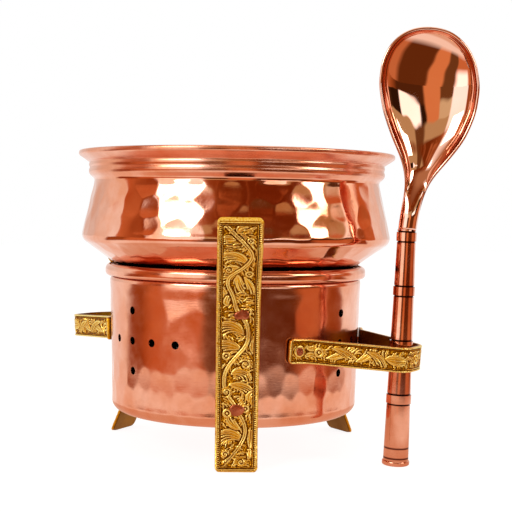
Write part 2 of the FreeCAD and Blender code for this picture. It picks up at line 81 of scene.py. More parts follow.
def rounded(corners, step):
    """Points and left-hand normals along straight lines whose corners are rounded by bend radii."""
    spots = [np.array(c[:2], float) for c in corners]
    runs = []
    begin = spots[0]
    for i in range(1, len(spots) - 1):
        back = spots[i - 1] - spots[i]
        ahead = spots[i + 1] - spots[i]
        back, ahead = back / np.linalg.norm(back), ahead / np.linalg.norm(ahead)
        half = math.acos(np.clip(back @ ahead, -1, 1)) / 2
        reach = corners[i][2] / math.tan(half)
        centre = spots[i] + (back + ahead) / np.linalg.norm(back + ahead) * corners[i][2] / math.sin(half)
        start, stop = spots[i] + back * reach, spots[i] + ahead * reach
        runs.append((begin, start, None))
        runs.append((start, stop, centre))
        begin = stop
    runs.append((begin, spots[-1], None))
    points, normals = [], []
    for start, stop, centre in runs:
        if centre is None:
            length = np.linalg.norm(stop - start)
            if length < 1e-9:
                continue
            count = max(1, round(length / step))
            along = (stop - start) / length
            for k in range(count):
                points.append(start + (stop - start) * k / count)
                normals.append((-along[1], along[0]))
            continue
        a, b = start - centre, stop - centre
        turn = math.atan2(a[0] * b[1] - a[1] * b[0], a @ b)
        radius = np.linalg.norm(a)
        count = max(6, round(abs(turn) * radius / step))
        side = -1 if turn > 0 else 1
        for k in range(count):
            angle = math.atan2(a[1], a[0]) + turn * k / count
            out = np.array((math.cos(angle), math.sin(angle)))
            points.append(centre + out * radius)
            normals.append(tuple(out * side))
    points.append(spots[-1])
    normals.append(normals[-1])
    return np.array(points), np.array(normals)


def piece(name, verts, faces, body, material, replaced=(), smooth=True):
    """A mesh object that moves with a body and stands for the CAD nodes it replaces."""
    mesh = bpy.data.meshes.new(name)
    mesh.from_pydata(np.asarray(verts).tolist(), [], faces)
    mesh.update()
    if smooth:
        mesh.shade_smooth()
    obj = bpy.data.objects.new(name, mesh)
    bpy.context.collection.objects.link(obj)
    for item in material if isinstance(material, (list, tuple)) else [material]:
        mesh.materials.append(item)
    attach(obj, body)
    if replaced:
        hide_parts(*replaced)
    return obj


def sharpen(obj, degrees):
    """Keep edges crisp where faces meet at more than an angle."""
    obj.data.set_sharp_from_angle(angle=math.radians(degrees))


def grid_faces(rows, columns, closed=False, base=0, flip=False):
    """Quads over a grid of points, joined round to the first column where it is closed."""
    faces = []
    for i in range(rows - 1):
        for j in range(columns if closed else columns - 1):
            k = (j + 1) % columns
            quad = (base + i * columns + j, base + i * columns + k,
                    base + (i + 1) * columns + k, base + (i + 1) * columns + j)
            faces.append(quad[::-1] if flip else quad)
    return faces


def spun(profile, normals, steps, lift=None):
    """Points of a profile spun about Z, raised along its normals by a field of rows and steps."""
    angle = np.arange(steps) * 2 * math.pi / steps
    radius = profile[:, :1] + (0 if lift is None else lift * normals[:, :1])
    height = profile[:, 1:] + (0 if lift is None else lift * normals[:, 1:])
    radius = np.broadcast_to(radius, (len(profile), steps))
    height = np.broadcast_to(height, (len(profile), steps))
    return np.stack([radius * np.cos(angle), radius * np.sin(angle), height], 2)


NEAR_BLOWS = 9
SOFT_LEVEL = 0.05 * MM


def hammered(points, blows, sharpness):
    """Height of a planished skin: every point belongs to the shallow hollow of its nearest blows."""
    tree = KDTree(len(blows))
    for i, blow in enumerate(blows):
        tree.insert(blow[0], i)
    tree.balance()
    flat = points.reshape(-1, 3)
    near = np.array([[hit[1] for hit in tree.find_n(p, NEAR_BLOWS)] for p in flat])
    centres = np.array([b[0] for b in blows])
    across = np.array([b[1] for b in blows])
    hollow = np.array([b[2] for b in blows])
    tilt = np.array([b[3] for b in blows])
    away = flat[:, None, :] - centres[near]
    up = away[:, :, 2] * across[near]
    level = np.linalg.norm(away[:, :, :2], axis=2)
    height = hollow[near] * (level ** 2 + up ** 2)
    height += (away * tilt[near]).sum(2)
    soft = -np.log(np.exp(-height * sharpness).sum(1)) / sharpness
    return soft.reshape(points.shape[:2])


def held_under(height):
    """A height that levels off softly below zero."""
    return -SOFT_LEVEL * np.logaddexp(0, -height / SOFT_LEVEL)


def blow_rows(path, lengths, rows, pitch, hollow, stretch, tilt):
    """Hammer blows in rings round a spun path, with a steady hand's unevenness."""
    blows = []
    for at in rows:
        radius = np.interp(at, lengths, path[:, 0])
        height = np.interp(at, lengths, path[:, 1])
        count = max(6, round(2 * math.pi * radius / pitch))
        start = seed.uniform(0, 2 * math.pi)
        for k in range(count):
            angle = start + (k + seed.uniform(-0.28, 0.28)) * 2 * math.pi / count
            rise = seed.uniform(-0.22, 0.22) * pitch
            spot = Vector((radius * math.cos(angle), radius * math.sin(angle), height + rise))
            lean = seed.normal(0, tilt, 3)
            blows.append((spot, 1 / stretch, hollow * seed.uniform(0.75, 1.3), lean))
    return blows


def along(points):
    """Distance along a path at each of its points."""
    return np.concatenate([[0], np.cumsum(np.linalg.norm(np.diff(points, axis=0), axis=1))])


def smooth_step(x, low, high):
    t = np.clip((x - low) / (high - low), 0, 1)
    return t * t * (3 - 2 * t)


# Materials

def shader(name):
    """A new material with its node tree and its principled shader."""
    material = bpy.data.materials.new(name)
    material.use_nodes = True
    tree = material.node_tree
    return material, tree, tree.nodes["Principled BSDF"]


def put(tree, socket, value):
    """Link a socket to another one, or set it to a constant."""
    if isinstance(value, bpy.types.NodeSocket):
        tree.links.new(value, socket)
    else:
        socket.default_value = value


def feed(tree, node, **values):
    """Set a node's plain properties and its inputs by name."""
    for key, value in values.items():
        if hasattr(node, key):
            setattr(node, key, value)
        else:
            put(tree, node.inputs[key.replace("_", " ")], value)
    return node


def add(tree, kind, **values):
    """A new node with its properties and inputs set."""
    return feed(tree, tree.nodes.new(kind), **values)


def maths(tree, operation, *sources, kind="ShaderNodeMath"):
    """The value of a maths node with its inputs in order."""
    node = add(tree, kind, operation=operation)
    for source, socket in zip(sources, node.inputs):
        put(tree, socket, source)
    return node.outputs["Value"]


def ramp(tree, source, stops):
    """A colour ramp fed by a value."""
    node = add(tree, "ShaderNodeValToRGB", Fac=source)
    elements = node.color_ramp.elements
    while len(elements) < len(stops):
        elements.new(1)
    for element, (at, colour) in zip(elements, stops):
        element.position = at
        element.color = (*colour, 1)
    return node.outputs["Color"]


def axes(tree, vector):
    """The X, Y and Z of a vector, by name."""
    return add(tree, "ShaderNodeSeparateXYZ", Vector=vector).outputs


def ranged(tree, source, low, high, at=(0.0, 1.0)):
    """A value stretched from one range to another and held inside it."""
    start, stop = at
    node = add(tree, "ShaderNodeMapRange", Value=source, From_Min=start, From_Max=stop, To_Min=low, To_Max=high)
    return node.outputs["Result"]


def mixed(tree, factor, first, second):
    """Two colours, each a socket or a constant, mixed by a factor."""
    first, second = [(*value, 1) if isinstance(value, tuple) else value for value in (first, second)]
    return add(tree, "ShaderNodeMix", data_type="RGBA", Factor=factor, A=first, B=second).outputs["Result"]


def cloud(tree, coords, scale, detail=3.0, roughness=0.55):
    """A noise field."""
    node = add(tree, "ShaderNodeTexNoise", Vector=coords, Scale=scale, Detail=detail, Roughness=roughness)
    return node.outputs["Fac"]


def bumped(tree, bsdf, layers):
    """Fine surface height from several fields, each with its own depth in metres."""
    below = {}
    for source, depth in layers:
        node = add(tree, "ShaderNodeBump", Strength=1.0, Distance=depth, Height=source, **below)
        below = {"Normal": node.outputs["Normal"]}
    feed(tree, bsdf, **below)


def own_place(tree):
    """Coordinates of the object itself."""
    return tree.nodes.new("ShaderNodeTexCoord").outputs["Object"]


def brushed_coords(tree, coords, around, up):
    """Coordinates drawn out into long streaks round the Z axis."""
    split = axes(tree, coords)
    angle = maths(tree, "ARCTAN2", split["Y"], split["X"])
    across, along_axis = maths(tree, "MULTIPLY", angle, around), maths(tree, "MULTIPLY", split["Z"], up)
    return add(tree, "ShaderNodeCombineXYZ", X=across, Y=along_axis).outputs[0]


# Near black of the painted shade where the bowl's lower cone meets the drum's bead
PAINTED_SHADE_BLACK = (0.012, 0.006, 0.004)


def metal(name, bright, dull, gloss, grain=0.0, streak=0.0, tarnish=0.5, painted_shade_heights=None, satin=None):
    """Worked sheet metal: cloudy tone, uneven gloss, fine grain and streaks round its axis.

    Between two heights it goes from the near black of a painted shade to bare metal, and between two others
    from gloss to satin."""
    material, tree, bsdf = shader(name)
    coords = own_place(tree)
    tone = cloud(tree, coords, 45, 4)
    low = 0.5 - 0.22 * tarnish
    colour = ramp(tree, tone, ((low, dull), (low + 0.3, bright)))
    height = axes(tree, coords)["Z"]
    # Painted shade: near black below the first height, fading to bare metal by the second
    if painted_shade_heights:
        colour = mixed(tree, ranged(tree, height, 0, 1, painted_shade_heights), PAINTED_SHADE_BLACK, colour)
    rough = ranged(tree, cloud(tree, coords, 160, 5), *gloss, (0.3, 0.7))
    if satin:
        rough = maths(tree, "ADD", rough, ranged(tree, height, 0, 0.15, satin))
    feed(tree, bsdf, Base_Color=colour, Roughness=rough, Metallic=1)
    layers = []
    if grain:
        layers.append((cloud(tree, coords, 700, 3), grain))
    if streak:
        layers.append((cloud(tree, brushed_coords(tree, coords, 7, 2600), 1, 4), streak))
    bumped(tree, bsdf, layers)
    return material


def carved_brass(name):
    """Cast brass, painted brown as shade in the grooves of its carving and painted bright as a highlight on its
    ridges.
    """
    material, tree, bsdf = shader(name)
    coords = own_place(tree)
    tone = add(tree, "ShaderNodeAttribute", attribute_name="tone")
    speck = cloud(tree, coords, 1300, 4)
    # Painted shade and highlight from the tone, broken by random specks
    worn = maths(tree, "MULTIPLY_ADD", speck, 0.35, maths(tree, "SUBTRACT", tone.outputs["Fac"], 0.17))
    colour = ramp(tree, worn, (
        (0.10, (0.13, 0.038, 0.001)),
        (0.30, (0.50, 0.200, 0.003)),
        (0.52, (0.88, 0.460, 0.018)),
        (0.80, (1.00, 0.820, 0.260)),
    ))
    feed(tree, bsdf, Base_Color=colour, Roughness=ranged(tree, worn, 0.46, 0.22), Metallic=1)
    bumped(tree, bsdf, ((cloud(tree, coords, 1700, 3), 0.00008),))
    return material


# The bowl's lower cone gets a painted shade, near black below 95.2 mm and gone by 97.8 mm, over the gap to the
# drum's bead
copper_bowl = metal("hammered_copper", (0.95, 0.52, 0.38), (0.82, 0.32, 0.17), (0.05, 0.12), 0.000012,
                    painted_shade_heights=(95.2 * MM, 97.8 * MM), satin=(139 * MM, 140.5 * MM))
copper_drum = metal("brushed_copper", (0.95, 0.50, 0.35), (0.84, 0.33, 0.18), (0.11, 0.21), 0.000012, 0.000011)
copper_spoon = metal("polished_copper", (0.955, 0.60, 0.47), (0.94, 0.56, 0.42), (0.02, 0.045))
copper_tube = metal("drawn_copper", (0.95, 0.50, 0.35), (0.76, 0.29, 0.16), (0.08, 0.16), 0.000008)
copper_rivet = metal("aged_copper", (0.80, 0.29, 0.14), (0.36, 0.085, 0.034), (0.18, 0.36), 0.0001)
copper_wire = metal("wire_copper", (0.86, 0.32, 0.17), (0.70, 0.22, 0.10), (0.2, 0.3), 0.00001)
# Soot and painted shade for the inside of the drum's wall, so the vents show black
soot_and_painted_shade = metal("sooted_shaded_copper", (0.045, 0.022, 0.015), (0.018, 0.012, 0.010), (0.45, 0.65), 0.00005)
steel = metal("spun_steel", (0.66, 0.65, 0.63), (0.56, 0.55, 0.53), (0.18, 0.28), 0, 0.000008)
cup_steel = metal("satin_steel", (0.58, 0.57, 0.55), (0.46, 0.45, 0.43), (0.26, 0.4), 0.00001, 0.00001)
burr_brass = metal("washer_brass", (0.74, 0.47, 0.13), (0.50, 0.28, 0.06), (0.3, 0.45), 0.00002)
brass = carved_brass("carved_brass")
# Darker brass for the backs of the straps and the insides of the handle loops: a painted-shade copy of the
# brass
painted_shade_brass = metal("painted_shade_brass", (0.36, 0.175, 0.008), (0.20, 0.088, 0.003), (0.34, 0.5), 0.00003)

# Bowl: spun from its outer profile, hammered between the base and the throat

BOWL_STEPS, BOWL_DENT = 720, 0.26 * MM
BASE_RADIUS, BELLY_RADIUS, THROAT_RADIUS = 46 * MM, 81.5 * MM, 74.6 * MM
COLLAR_RADIUS, RIM_RADIUS = 77.6 * MM, bowl_high.x
BASE_HEIGHT, RIM_HEIGHT = bowl_low.z, bowl_high.z
LIP_HEIGHT = RIM_HEIGHT - 5.7 * MM
COLLAR_HEIGHT = LIP_HEIGHT - 6 * MM
THROAT_HEIGHT = COLLAR_HEIGHT - 3 * MM
BELLY_HEIGHT = THROAT_HEIGHT - 30.6 * MM
bowl_path, bowl_out = rounded([
    (0.5 * MM, BASE_HEIGHT),
    (BASE_RADIUS, BASE_HEIGHT, 10 * MM),
    (BELLY_RADIUS, BELLY_HEIGHT, 5 * MM),
    (THROAT_RADIUS, THROAT_HEIGHT, 2 * MM),
    (COLLAR_RADIUS, COLLAR_HEIGHT, 2.6 * MM),
    (COLLAR_RADIUS, LIP_HEIGHT, 1.5 * MM),
    (RIM_RADIUS, LIP_HEIGHT + 3.5 * MM, 1.2 * MM),
    (RIM_RADIUS, RIM_HEIGHT, 0.9 * MM),
    (RIM_RADIUS - 3 * MM, RIM_HEIGHT),
], 0.6 * MM)
bowl_out = -bowl_out


def collar_rolls(path):
    """How deep the collar sinks beside its two rolls, with a groove between them."""
    at = (path[:, 1] - COLLAR_HEIGHT) / (3 * MM)
    lower = np.clip(2 * at - 1, 0, 1) ** 2
    upper = np.where(at < 2, (2 * at - 3) ** 2, 1)
    fade = 1 - smooth_step(path[:, 0], COLLAR_RADIUS, COLLAR_RADIUS + 0.5 * MM)
    return np.where(at < 1, lower, upper) * fade * 0.5 * MM


bowl_path -= bowl_out * collar_rolls(bowl_path)[:, None]


def corners_of(faces):
    """Grid points at the corners of marked faces."""
    wide = faces | np.roll(faces, 1, 1)
    corners = wide.copy()
    corners[1:] |= wide[:-1]
    return corners


def shell(path, outward, steps, thickness, lift, holes=()):
    """A spun sheet with a thickness, hammered alike on both faces and pierced by round holes.

    Holes are (angle, height, radius): the grid's own points move onto the hole's edge."""
    rows = len(path)
    outer = spun(path, outward, steps, lift)
    inner = spun(path - outward * thickness, outward, steps, lift)
    angle = np.arange(steps) * 2 * math.pi / steps
    gone = np.zeros((rows, steps), bool)
    for turn, height, radius in holes:
        around = (angle - turn + math.pi) % (2 * math.pi) - math.pi
        dx = around[None, :] * path[:, :1]
        dy = np.broadcast_to(path[:, 1:] - height, dx.shape)
        d = np.hypot(dx, dy)
        centre = d + np.roll(d, -1, 1)
        centre[:-1] += d[1:] + np.roll(d, -1, 1)[1:]
        drop = centre / 4 < radius
        gone |= drop
        for i, j in zip(*np.nonzero(corners_of(drop) & corners_of(~drop))):
            pull = radius / max(d[i, j], 1e-9)
            spin = turn + dx[i, j] * pull / path[i, 0]
            for layer in (outer, inner):
                reach = np.hypot(layer[i, j, 0], layer[i, j, 1])
                layer[i, j] = (reach * math.cos(spin), reach * math.sin(spin),
                               layer[i, j, 2] + dy[i, j] * (pull - 1))
    count = rows * steps
    verts = np.concatenate([outer.reshape(-1, 3), inner.reshape(-1, 3)])
    quads = grid_faces(rows, steps, closed=True)
    out_faces = [quad for quad, hole in zip(quads, gone.ravel()) if not hole]
    in_faces = [tuple(corner + count for corner in quad[::-1]) for quad in out_faces]
    edges = []
    for i, j in zip(*np.nonzero(gone)):
        a, b, c, d = quads[i * steps + j]
        sides = ((i - 1, j, (a, b)), (i + 1, j, (c, d)), (i, j + 1, (b, c)), (i, j - 1, (d, a)))
        edges += [edge for row, column, edge in sides if not gone[row, column % steps]]
    last = (rows - 1) * steps
    edges += [(last + j, last + (j + 1) % steps) for j in range(steps)]
    rims = [(p, q, q + count, p + count) for p, q in edges]
    rims.append(tuple(range(steps))[::-1])
    rims.append(tuple(range(count, count + steps)))
    return verts, out_faces, in_faces, rims


bowl_run = along(bowl_path)
belly_run = np.interp(BELLY_HEIGHT, bowl_path[:, 1], bowl_run)
throat_run = bowl_run[np.argmax(bowl_path[:, 1] > THROAT_HEIGHT - 2 * MM)]
base_run = bowl_run[np.argmax(bowl_path[:, 1] > BASE_HEIGHT + 1.5 * MM)]
shoulder_rows = belly_run + np.array((5.5, 15.5, 25.5)) * MM
cone_rows = np.arange(base_run, belly_run - 4 * MM, 9 * MM)
blows = blow_rows(bowl_path, bowl_run, shoulder_rows, pitch=11.8 * MM, hollow=7.5, stretch=1.0, tilt=0.026)
blows += blow_rows(bowl_path, bowl_run, cone_rows, pitch=10.5 * MM, hollow=3.5, stretch=1.0, tilt=0.008)
bowl_points = spun(bowl_path, bowl_out, BOWL_STEPS)
planish = hammered(bowl_points, blows, sharpness=30000)
zone = smooth_step(bowl_run, base_run - 6 * MM, base_run + 3 * MM)
zone *= 1 - smooth_step(bowl_run, throat_run - 1.5 * MM, throat_run + 1 * MM)
zone *= 1 - 0.6 * np.exp(-((bowl_run - belly_run) / (3.0 * MM)) ** 2)
lift = held_under(planish - BOWL_DENT) * zone[:, None]
verts, outside, inside, rims = shell(bowl_path, bowl_out, BOWL_STEPS, SHEET, lift)
bowl = piece("bowl_skin", verts, outside + inside + rims, "bowl", copper_bowl, ["bowl_shell"])
sharpen(bowl, 60)

# Stove drum: wall dented in two rows near its foot, smoother above, with round vents

DRUM_STEPS, DRUM_DENT = 640, 0.28 * MM
drum_path, drum_in = rounded([
    (0.5 * MM, DRUM_FLOOR + SHEET),
    (DRUM_FOOT - SHEET, DRUM_FLOOR + SHEET, 4.3 * MM),
    (DRUM_RADIUS - SHEET, NECK_HEIGHT, 2.5 * MM),
    (BEAD_AT - BEAD_RADIUS, NECK_HEIGHT + 2.5 * MM, 2.5 * MM),
    (BEAD_AT - BEAD_RADIUS, BEAD_HEIGHT + BEAD_RADIUS, 2.9 * MM),
    (BEAD_AT + BEAD_RADIUS, BEAD_HEIGHT + BEAD_RADIUS, 2.9 * MM),
    (BEAD_AT + BEAD_RADIUS, BEAD_HEIGHT - BEAD_RADIUS, 2.0 * MM),
    (BEAD_AT + BEAD_RADIUS - 2.2 * MM, BEAD_HEIGHT - BEAD_RADIUS),
], 0.66 * MM)
drum_run = along(drum_path)
wall = (drum_path[:, 1] > DRUM_FLOOR + 5 * MM) & (drum_path[:, 1] < NECK_HEIGHT - 2 * MM)
wall &= drum_path[:, 0] > 50 * MM
foot_run, neck_run = drum_run[wall][0], drum_run[wall][-1]
foot_dents = foot_run + np.array((4, 15)) * MM
dents = blow_rows(drum_path, drum_run, foot_dents, pitch=8.6 * MM, hollow=8.5, stretch=1.45, tilt=0.008)
soft_dents = np.arange(foot_run + 29 * MM, neck_run + 4 * MM, 13 * MM)
dents += blow_rows(drum_path, drum_run, soft_dents, pitch=16 * MM, hollow=3.0, stretch=1.1, tilt=0.012)
drum_points = spun(drum_path, drum_in, DRUM_STEPS)
rough_wall = hammered(drum_points, dents, sharpness=22000)
wall_zone = smooth_step(drum_run, foot_run - 3 * MM, foot_run + 3 * MM)
wall_zone *= 1 - smooth_step(drum_run, neck_run - 5 * MM, neck_run)
drum_lift = held_under(rough_wall - DRUM_DENT) * wall_zone[:, None]

VENT_RADIUS, VENT_PITCH, VENT_RISE = 2 * MM, 14.2 * MM, 15 * MM
VENT_HEIGHT, VENT_TURN = 58 * MM, 52.3
CROSSES = ((VENT_TURN, (-1, 0, 1)), (-VENT_TURN, (-1, 0, 1, 2)), (180, (-2, -1, 0, 1)))
vent_step = VENT_PITCH / wall_at(VENT_HEIGHT)
vents = []
for turn, steps in CROSSES:
    facing = math.radians(turn - 90)
    vents += [(facing + step * vent_step, VENT_HEIGHT, VENT_RADIUS) for step in steps]
    vents += [(facing, VENT_HEIGHT + rise, VENT_RADIUS) for rise in (VENT_RISE, -VENT_RISE)]
verts, inner_faces, outer_faces, rims = shell(drum_path, drum_in, DRUM_STEPS, SHEET, -drum_lift, vents)
drum = piece("drum_skin", verts, inner_faces + outer_faces + rims, "stand",
             [copper_drum, soot_and_painted_shade], ["drum_shell"])
sharpen(drum, 50)
# The inside of the wall below the neck takes the soot and painted shade material
inner_rows = np.searchsorted(drum_run, neck_run)
for polygon in drum.data.polygons[:len(inner_faces)]:
    polygon.material_index = 1 if polygon.vertices[0] // DRUM_STEPS < inner_rows else 0

# Carving: a fluted stem that swings down the strap, with curled acanthus leaves, scrolls and rosettes

FLUTE, RIB, MILL_PITCH = 0.46 * MM, 0.92 * MM, 0.95 * MM


def curve(points, step=0.3 * MM):
    """A smooth line through a few points."""
    points = np.asarray(points, float)
    run = along(points)
    at = np.linspace(0, run[-1], max(8, int(run[-1] / step)))
    line = np.stack([np.interp(at, run, points[:, k]) for k in (0, 1)], 1)
    for _ in range(40):
        line[1:-1] = (line[:-2] + 2 * line[1:-1] + line[2:]) / 4
    return line


def walked(u, v, headings, length):
    """Points reached from a spot by even steps along given headings."""
    steps = np.stack([np.cos(headings), np.sin(headings)], 1)
    return np.array((u, v)) + np.cumsum(steps, 0) * length / len(headings)


def soften(field, passes):
    """A field blurred by repeated three-point averages."""
    for _ in range(passes):
        for axis in (0, 1):
            field = (np.roll(field, 1, axis) + 2 * field + np.roll(field, -1, axis)) / 4
    return field


class Panel:
    """A height field over a strip, u across and v along, raised and cut by a round tool."""

    def __init__(self, width, length, pitch):
        self.u = np.linspace(-width / 2, width / 2, round(width / pitch) + 1)
        self.v = np.linspace(0, length, round(length / pitch) + 1)
        self.height = np.zeros((len(self.v), len(self.u)))

    def reach(self, u, v, radius):
        """The part of the field within a radius of a spot, and the squared share of the radius."""
        i0, i1 = np.searchsorted(self.v, (v - radius, v + radius))
        j0, j1 = np.searchsorted(self.u, (u - radius, u + radius))
        away = (self.u[None, j0:j1] - u) ** 2 + (self.v[i0:i1, None] - v) ** 2
        return self.height[i0:i1, j0:j1], away / radius ** 2

    def touch(self, u, v, radius, height):
        """Raise one round dome."""
        part, away = self.reach(u, v, radius)
        np.maximum(part, height * np.sqrt(np.clip(1 - away, 0, 1)), out=part)

    def clear(self, points, wide, left=0.12):
        """Sink a groove along a line, to set off what is carved in it."""
        for u, v in points:
            part, away = self.reach(u, v, wide)
            np.minimum(part, left + np.clip(away - 0.45, 0, 1) * 2, out=part)

    def stroke(self, points, wide, height, taper=(0.3, 0.3)):
        """A ridge along a line of points, thinner towards its two ends."""
        run = along(points)
        for t in np.linspace(0, 1, max(3, int(run[-1] / (0.2 * MM)))):
            u = np.interp(t * run[-1], run, points[:, 0])
            v = np.interp(t * run[-1], run, points[:, 1])
            thin = np.interp(t, (0, 0.4, 0.65, 1), (taper[0], 1, 1, taper[1]))
            self.touch(u, v, wide * thin, height * (0.5 + 0.5 * thin))

    def rosette(self, u, v, radius):
        """A ring round a bead, set off from the leaves about it."""
        self.clear([(u, v)], 1.25 * radius)
        for a in np.linspace(0, 2 * math.pi, 44):
            self.touch(u + 0.72 * radius * math.cos(a), v + 0.72 * radius * math.sin(a), 0.31 * radius, 0.95)
        self.touch(u, v, 0.36 * radius, 1.0)

    def scroll(self, u, v, radius, start, turns):
        """A stem wound inwards to a bead, with flutes round its outside."""
        t = np.linspace(0, 1, 80)
        a = math.radians(start) + turns * 2 * math.pi * t
        r = radius * (0.80 - 0.62 * t ** 0.8)
        line = np.stack([u + r * np.cos(a), v + r * np.sin(a)], 1)
        self.clear([(u, v)], 1.05 * radius)
        for k in range(4, 40, 4):
            out = np.array((math.cos(a[k]), math.sin(a[k])))
            lean = np.array((math.cos(a[k] + turns * 0.5), math.sin(a[k] + turns * 0.5)))
            self.stroke(np.array([line[k], line[k] + 0.28 * radius * out, line[k] + 0.5 * radius * lean]),
                        0.9 * FLUTE, 0.7, (0.9, 0.5))
        self.stroke(line, 0.21 * radius, 1.0, (0.9, 0.6))
        self.touch(u, v, 0.26 * radius, 1.0)

    def leaf(self, u, v, heading, length, curl, width):
        """An acanthus leaf: ribs that leave one root, sweep round together and end in round lobes."""
        ribs = max(3, round(2 * width / RIB) + 1)
        t = np.linspace(0, 1, 40)
        lines = []
        for side in np.linspace(-1, 1, ribs):
            turn = math.radians(heading) + side * 2.5 * width / length * (1 - t) ** 1.5
            turn += math.radians(curl) * t ** 1.3
            reach = length * (1 - 0.22 * side ** 2 - 0.16 * side * math.copysign(1, curl))
            lines.append(walked(u, v, turn, reach))
        thick = 1.08 * width / (ribs - 1)
        for line in lines:
            self.clear(line[::3], 1.5 * thick, 0.06)
        for k, line in enumerate(lines):
            self.stroke(line, thick, 0.80 + 0.14 * (k % 2), (0.7, 0.95))
            self.touch(*line[-1], 1.1 * thick, 0.98)


# Ornaments of a leg: places are shares of the panel's half width and millimetres down from the top
LEG_STEM = (
    (-0.75, 4.5), (-0.35, 7.8), (0.17, 11.6), (0.58, 15.8), (0.76, 19.6), (0.62, 23.3), (0.15, 28.0),
    (-0.40, 31.3), (-0.68, 34.3), (-0.66, 37.6), (-0.40, 41.0), (-0.22, 45.4), (-0.10, 49.5),
    (0.26, 52.4), (0.53, 55.7), (0.64, 59.5), (0.62, 63.8), (0.38, 67.4), (0.0, 70.6), (-0.40, 74.2),
    (-0.70, 77.8), (-0.82, 81.0), (-0.80, 86.0), (-0.45, 91.5), (-0.10, 95.0), (0.12, 98.6),
    (0.42, 102.2), (0.57, 106.3), (0.49, 110.3), (0.20, 114.0), (-0.15, 117.6), (-0.56, 121.2),
)
LEG_LEAVES = (
    # across, down, heading, length, curl, width
    (0.45, 25.0, 112, 18.0, 125, 3.3),
    (0.10, 28.0, 150, 9.5, 95, 2.2),
    (-0.23, 10.4, 168, 7.0, 35, 1.7),
    (-0.20, 7.0, 60, 5.5, -60, 1.6),
    (0.60, 17.0, 75, 6.0, 70, 1.7),
    (-0.10, 31.5, -82, 9.0, 25, 2.0),
    (0.30, 33.0, -52, 9.5, -25, 1.6),
    (-0.75, 41.5, 100, 4.5, 70, 1.6),
    (-0.62, 47.0, 130, 5.0, -90, 1.6),
    (0.35, 61.0, 122, 17.0, 118, 3.2),
    (0.22, 68.0, 150, 13.0, 50, 2.5),
    (0.92, 70.0, 98, 9.0, -15, 1.4),
    (-0.40, 80.0, 40, 12.0, -120, 2.6),
    (-0.50, 85.0, 5, 12.5, -55, 2.3),
    (0.75, 93.0, 110, 6.5, -90, 1.7),
    (0.40, 112.0, 128, 16.0, 110, 3.1),
    (0.25, 106.0, 160, 8.5, -50, 2.0),
    (0.92, 116.0, 95, 10.0, -10, 1.5),
    (0.75, 120.0, 60, 5.0, 60, 1.4),
)
LEG_ROSETTES = ((0.60, 11.0, 1.7), (0.60, 31.0, 2.1), (0.55, 50.0, 2.2), (-0.69, 71.0, 2.1), (0.52, 96.3, 2.1),
                (-0.60, 98.5, 2.3))
LEG_SCROLLS = ((-0.62, 28.5, 2.2, 30, -1.3), (0.49, 75.0, 3.3, 150, -1.5), (-0.66, 88.3, 2.4, -60, 1.4),
               (-0.70, 118.0, 2.2, 10, 1.4), (0.30, 121.6, 2.1, 60, -1.4))

# Ornaments of half a handle: shares across and millimetres from its end
HANDLE_LEAVES = (
    (-0.55, 18.5, 78, 15.0, -30, 1.8), (0.60, 21.0, 95, 14.0, 45, 1.7), (-0.60, 33.0, 70, 13.0, -55, 1.9),
    (0.55, 38.0, 100, 12.0, 60, 1.8), (0.0, 47.0, 90, 10.0, 0, 3.2), (-0.5, 9.0, 60, 5.0, 60, 1.3),
    (0.5, 9.0, 120, 5.0, -60, 1.3),
)
HANDLE_ROSETTES = ((0.0, 5.5, 3.0), (0.0, 15.2, 2.5))


def stem(panel, points):
    """Two ridges side by side along a smooth line."""
    line = curve(points)
    ahead = np.gradient(line, axis=0)
    side = np.stack([ahead[:, 1], -ahead[:, 0]], 1) / np.linalg.norm(ahead, axis=1)[:, None]
    panel.clear(line[::2], 1.9 * MM)
    for way in (-1, 1):
        panel.stroke(line + way * 0.46 * MM * side, 0.62 * MM, 1.0, (0.7, 0.7))


def grains(panel, pitch):
    """Low uneven beads that fill the ground between the leaves."""
    for v in np.arange(pitch, panel.v[-1], pitch):
        for u in np.arange(panel.u[0] + pitch, panel.u[-1], pitch):
            shift = seed.uniform(-0.45, 0.45, 2) * pitch
            panel.touch(u + shift[0], v + shift[1], seed.uniform(0.4, 0.65) * pitch, seed.uniform(0.10, 0.32))


def fill(panel, half, count, sway):
    """Short curled strokes over the ground that is still bare, all leaning with one flow."""
    for _ in range(count):
        u, v = seed.uniform(-half, half), seed.uniform(2 * MM, panel.v[-1] - 3 * MM)
        part, _ = panel.reach(u, v, 0.6 * MM)
        if part.size == 0 or part.mean() > 0.3:
            continue
        turn = math.radians(sway) * math.sin(2 * math.pi * v / (38 * MM)) + math.radians(70) + 0.9 * u / half
        bend = seed.uniform(0.5, 1.4) * math.copysign(1, u)
        t = np.linspace(0, 1, 12)
        line = walked(u, v, turn + bend * t, seed.uniform(2.0, 4.2) * MM)
        panel.stroke(line, seed.uniform(0.34, 0.5) * MM, seed.uniform(0.55, 0.85), (0.8, 0.7))


def carve_leg(panel, half):
    top = panel.v[-1]
    grains(panel, 0.8 * MM)
    for across, down, heading, length, curl, width in LEG_LEAVES:
        panel.leaf(across * half, top - down * MM, heading, length * MM, curl, width * MM)
    stem(panel, [(across * half, top - down * MM) for across, down in LEG_STEM])
    fill(panel, half, 900, 60)
    for across, down, radius in LEG_ROSETTES:
        panel.rosette(across * half, top - down * MM, radius * MM)
    for across, down, radius, start, turns in LEG_SCROLLS:
        panel.scroll(across * half, top - down * MM, radius * MM, start, turns)


def carve_handle(panel, half):
    end = panel.v[-1]
    grains(panel, 0.8 * MM)
    for mirror in (False, True):
        for across, place, heading, length, curl, width in HANDLE_LEAVES:
            v = end - place * MM if mirror else place * MM
            way = -1 if mirror else 1
            panel.leaf(across * half, v, way * heading, length * MM, way * curl, width * MM)
        for across, place, radius in HANDLE_ROSETTES:
            panel.rosette(across * half, end - place * MM if mirror else place * MM, radius * MM)
    panel.rosette(0, end / 2, 2.6 * MM)
    fill(panel, half, 500, 30)


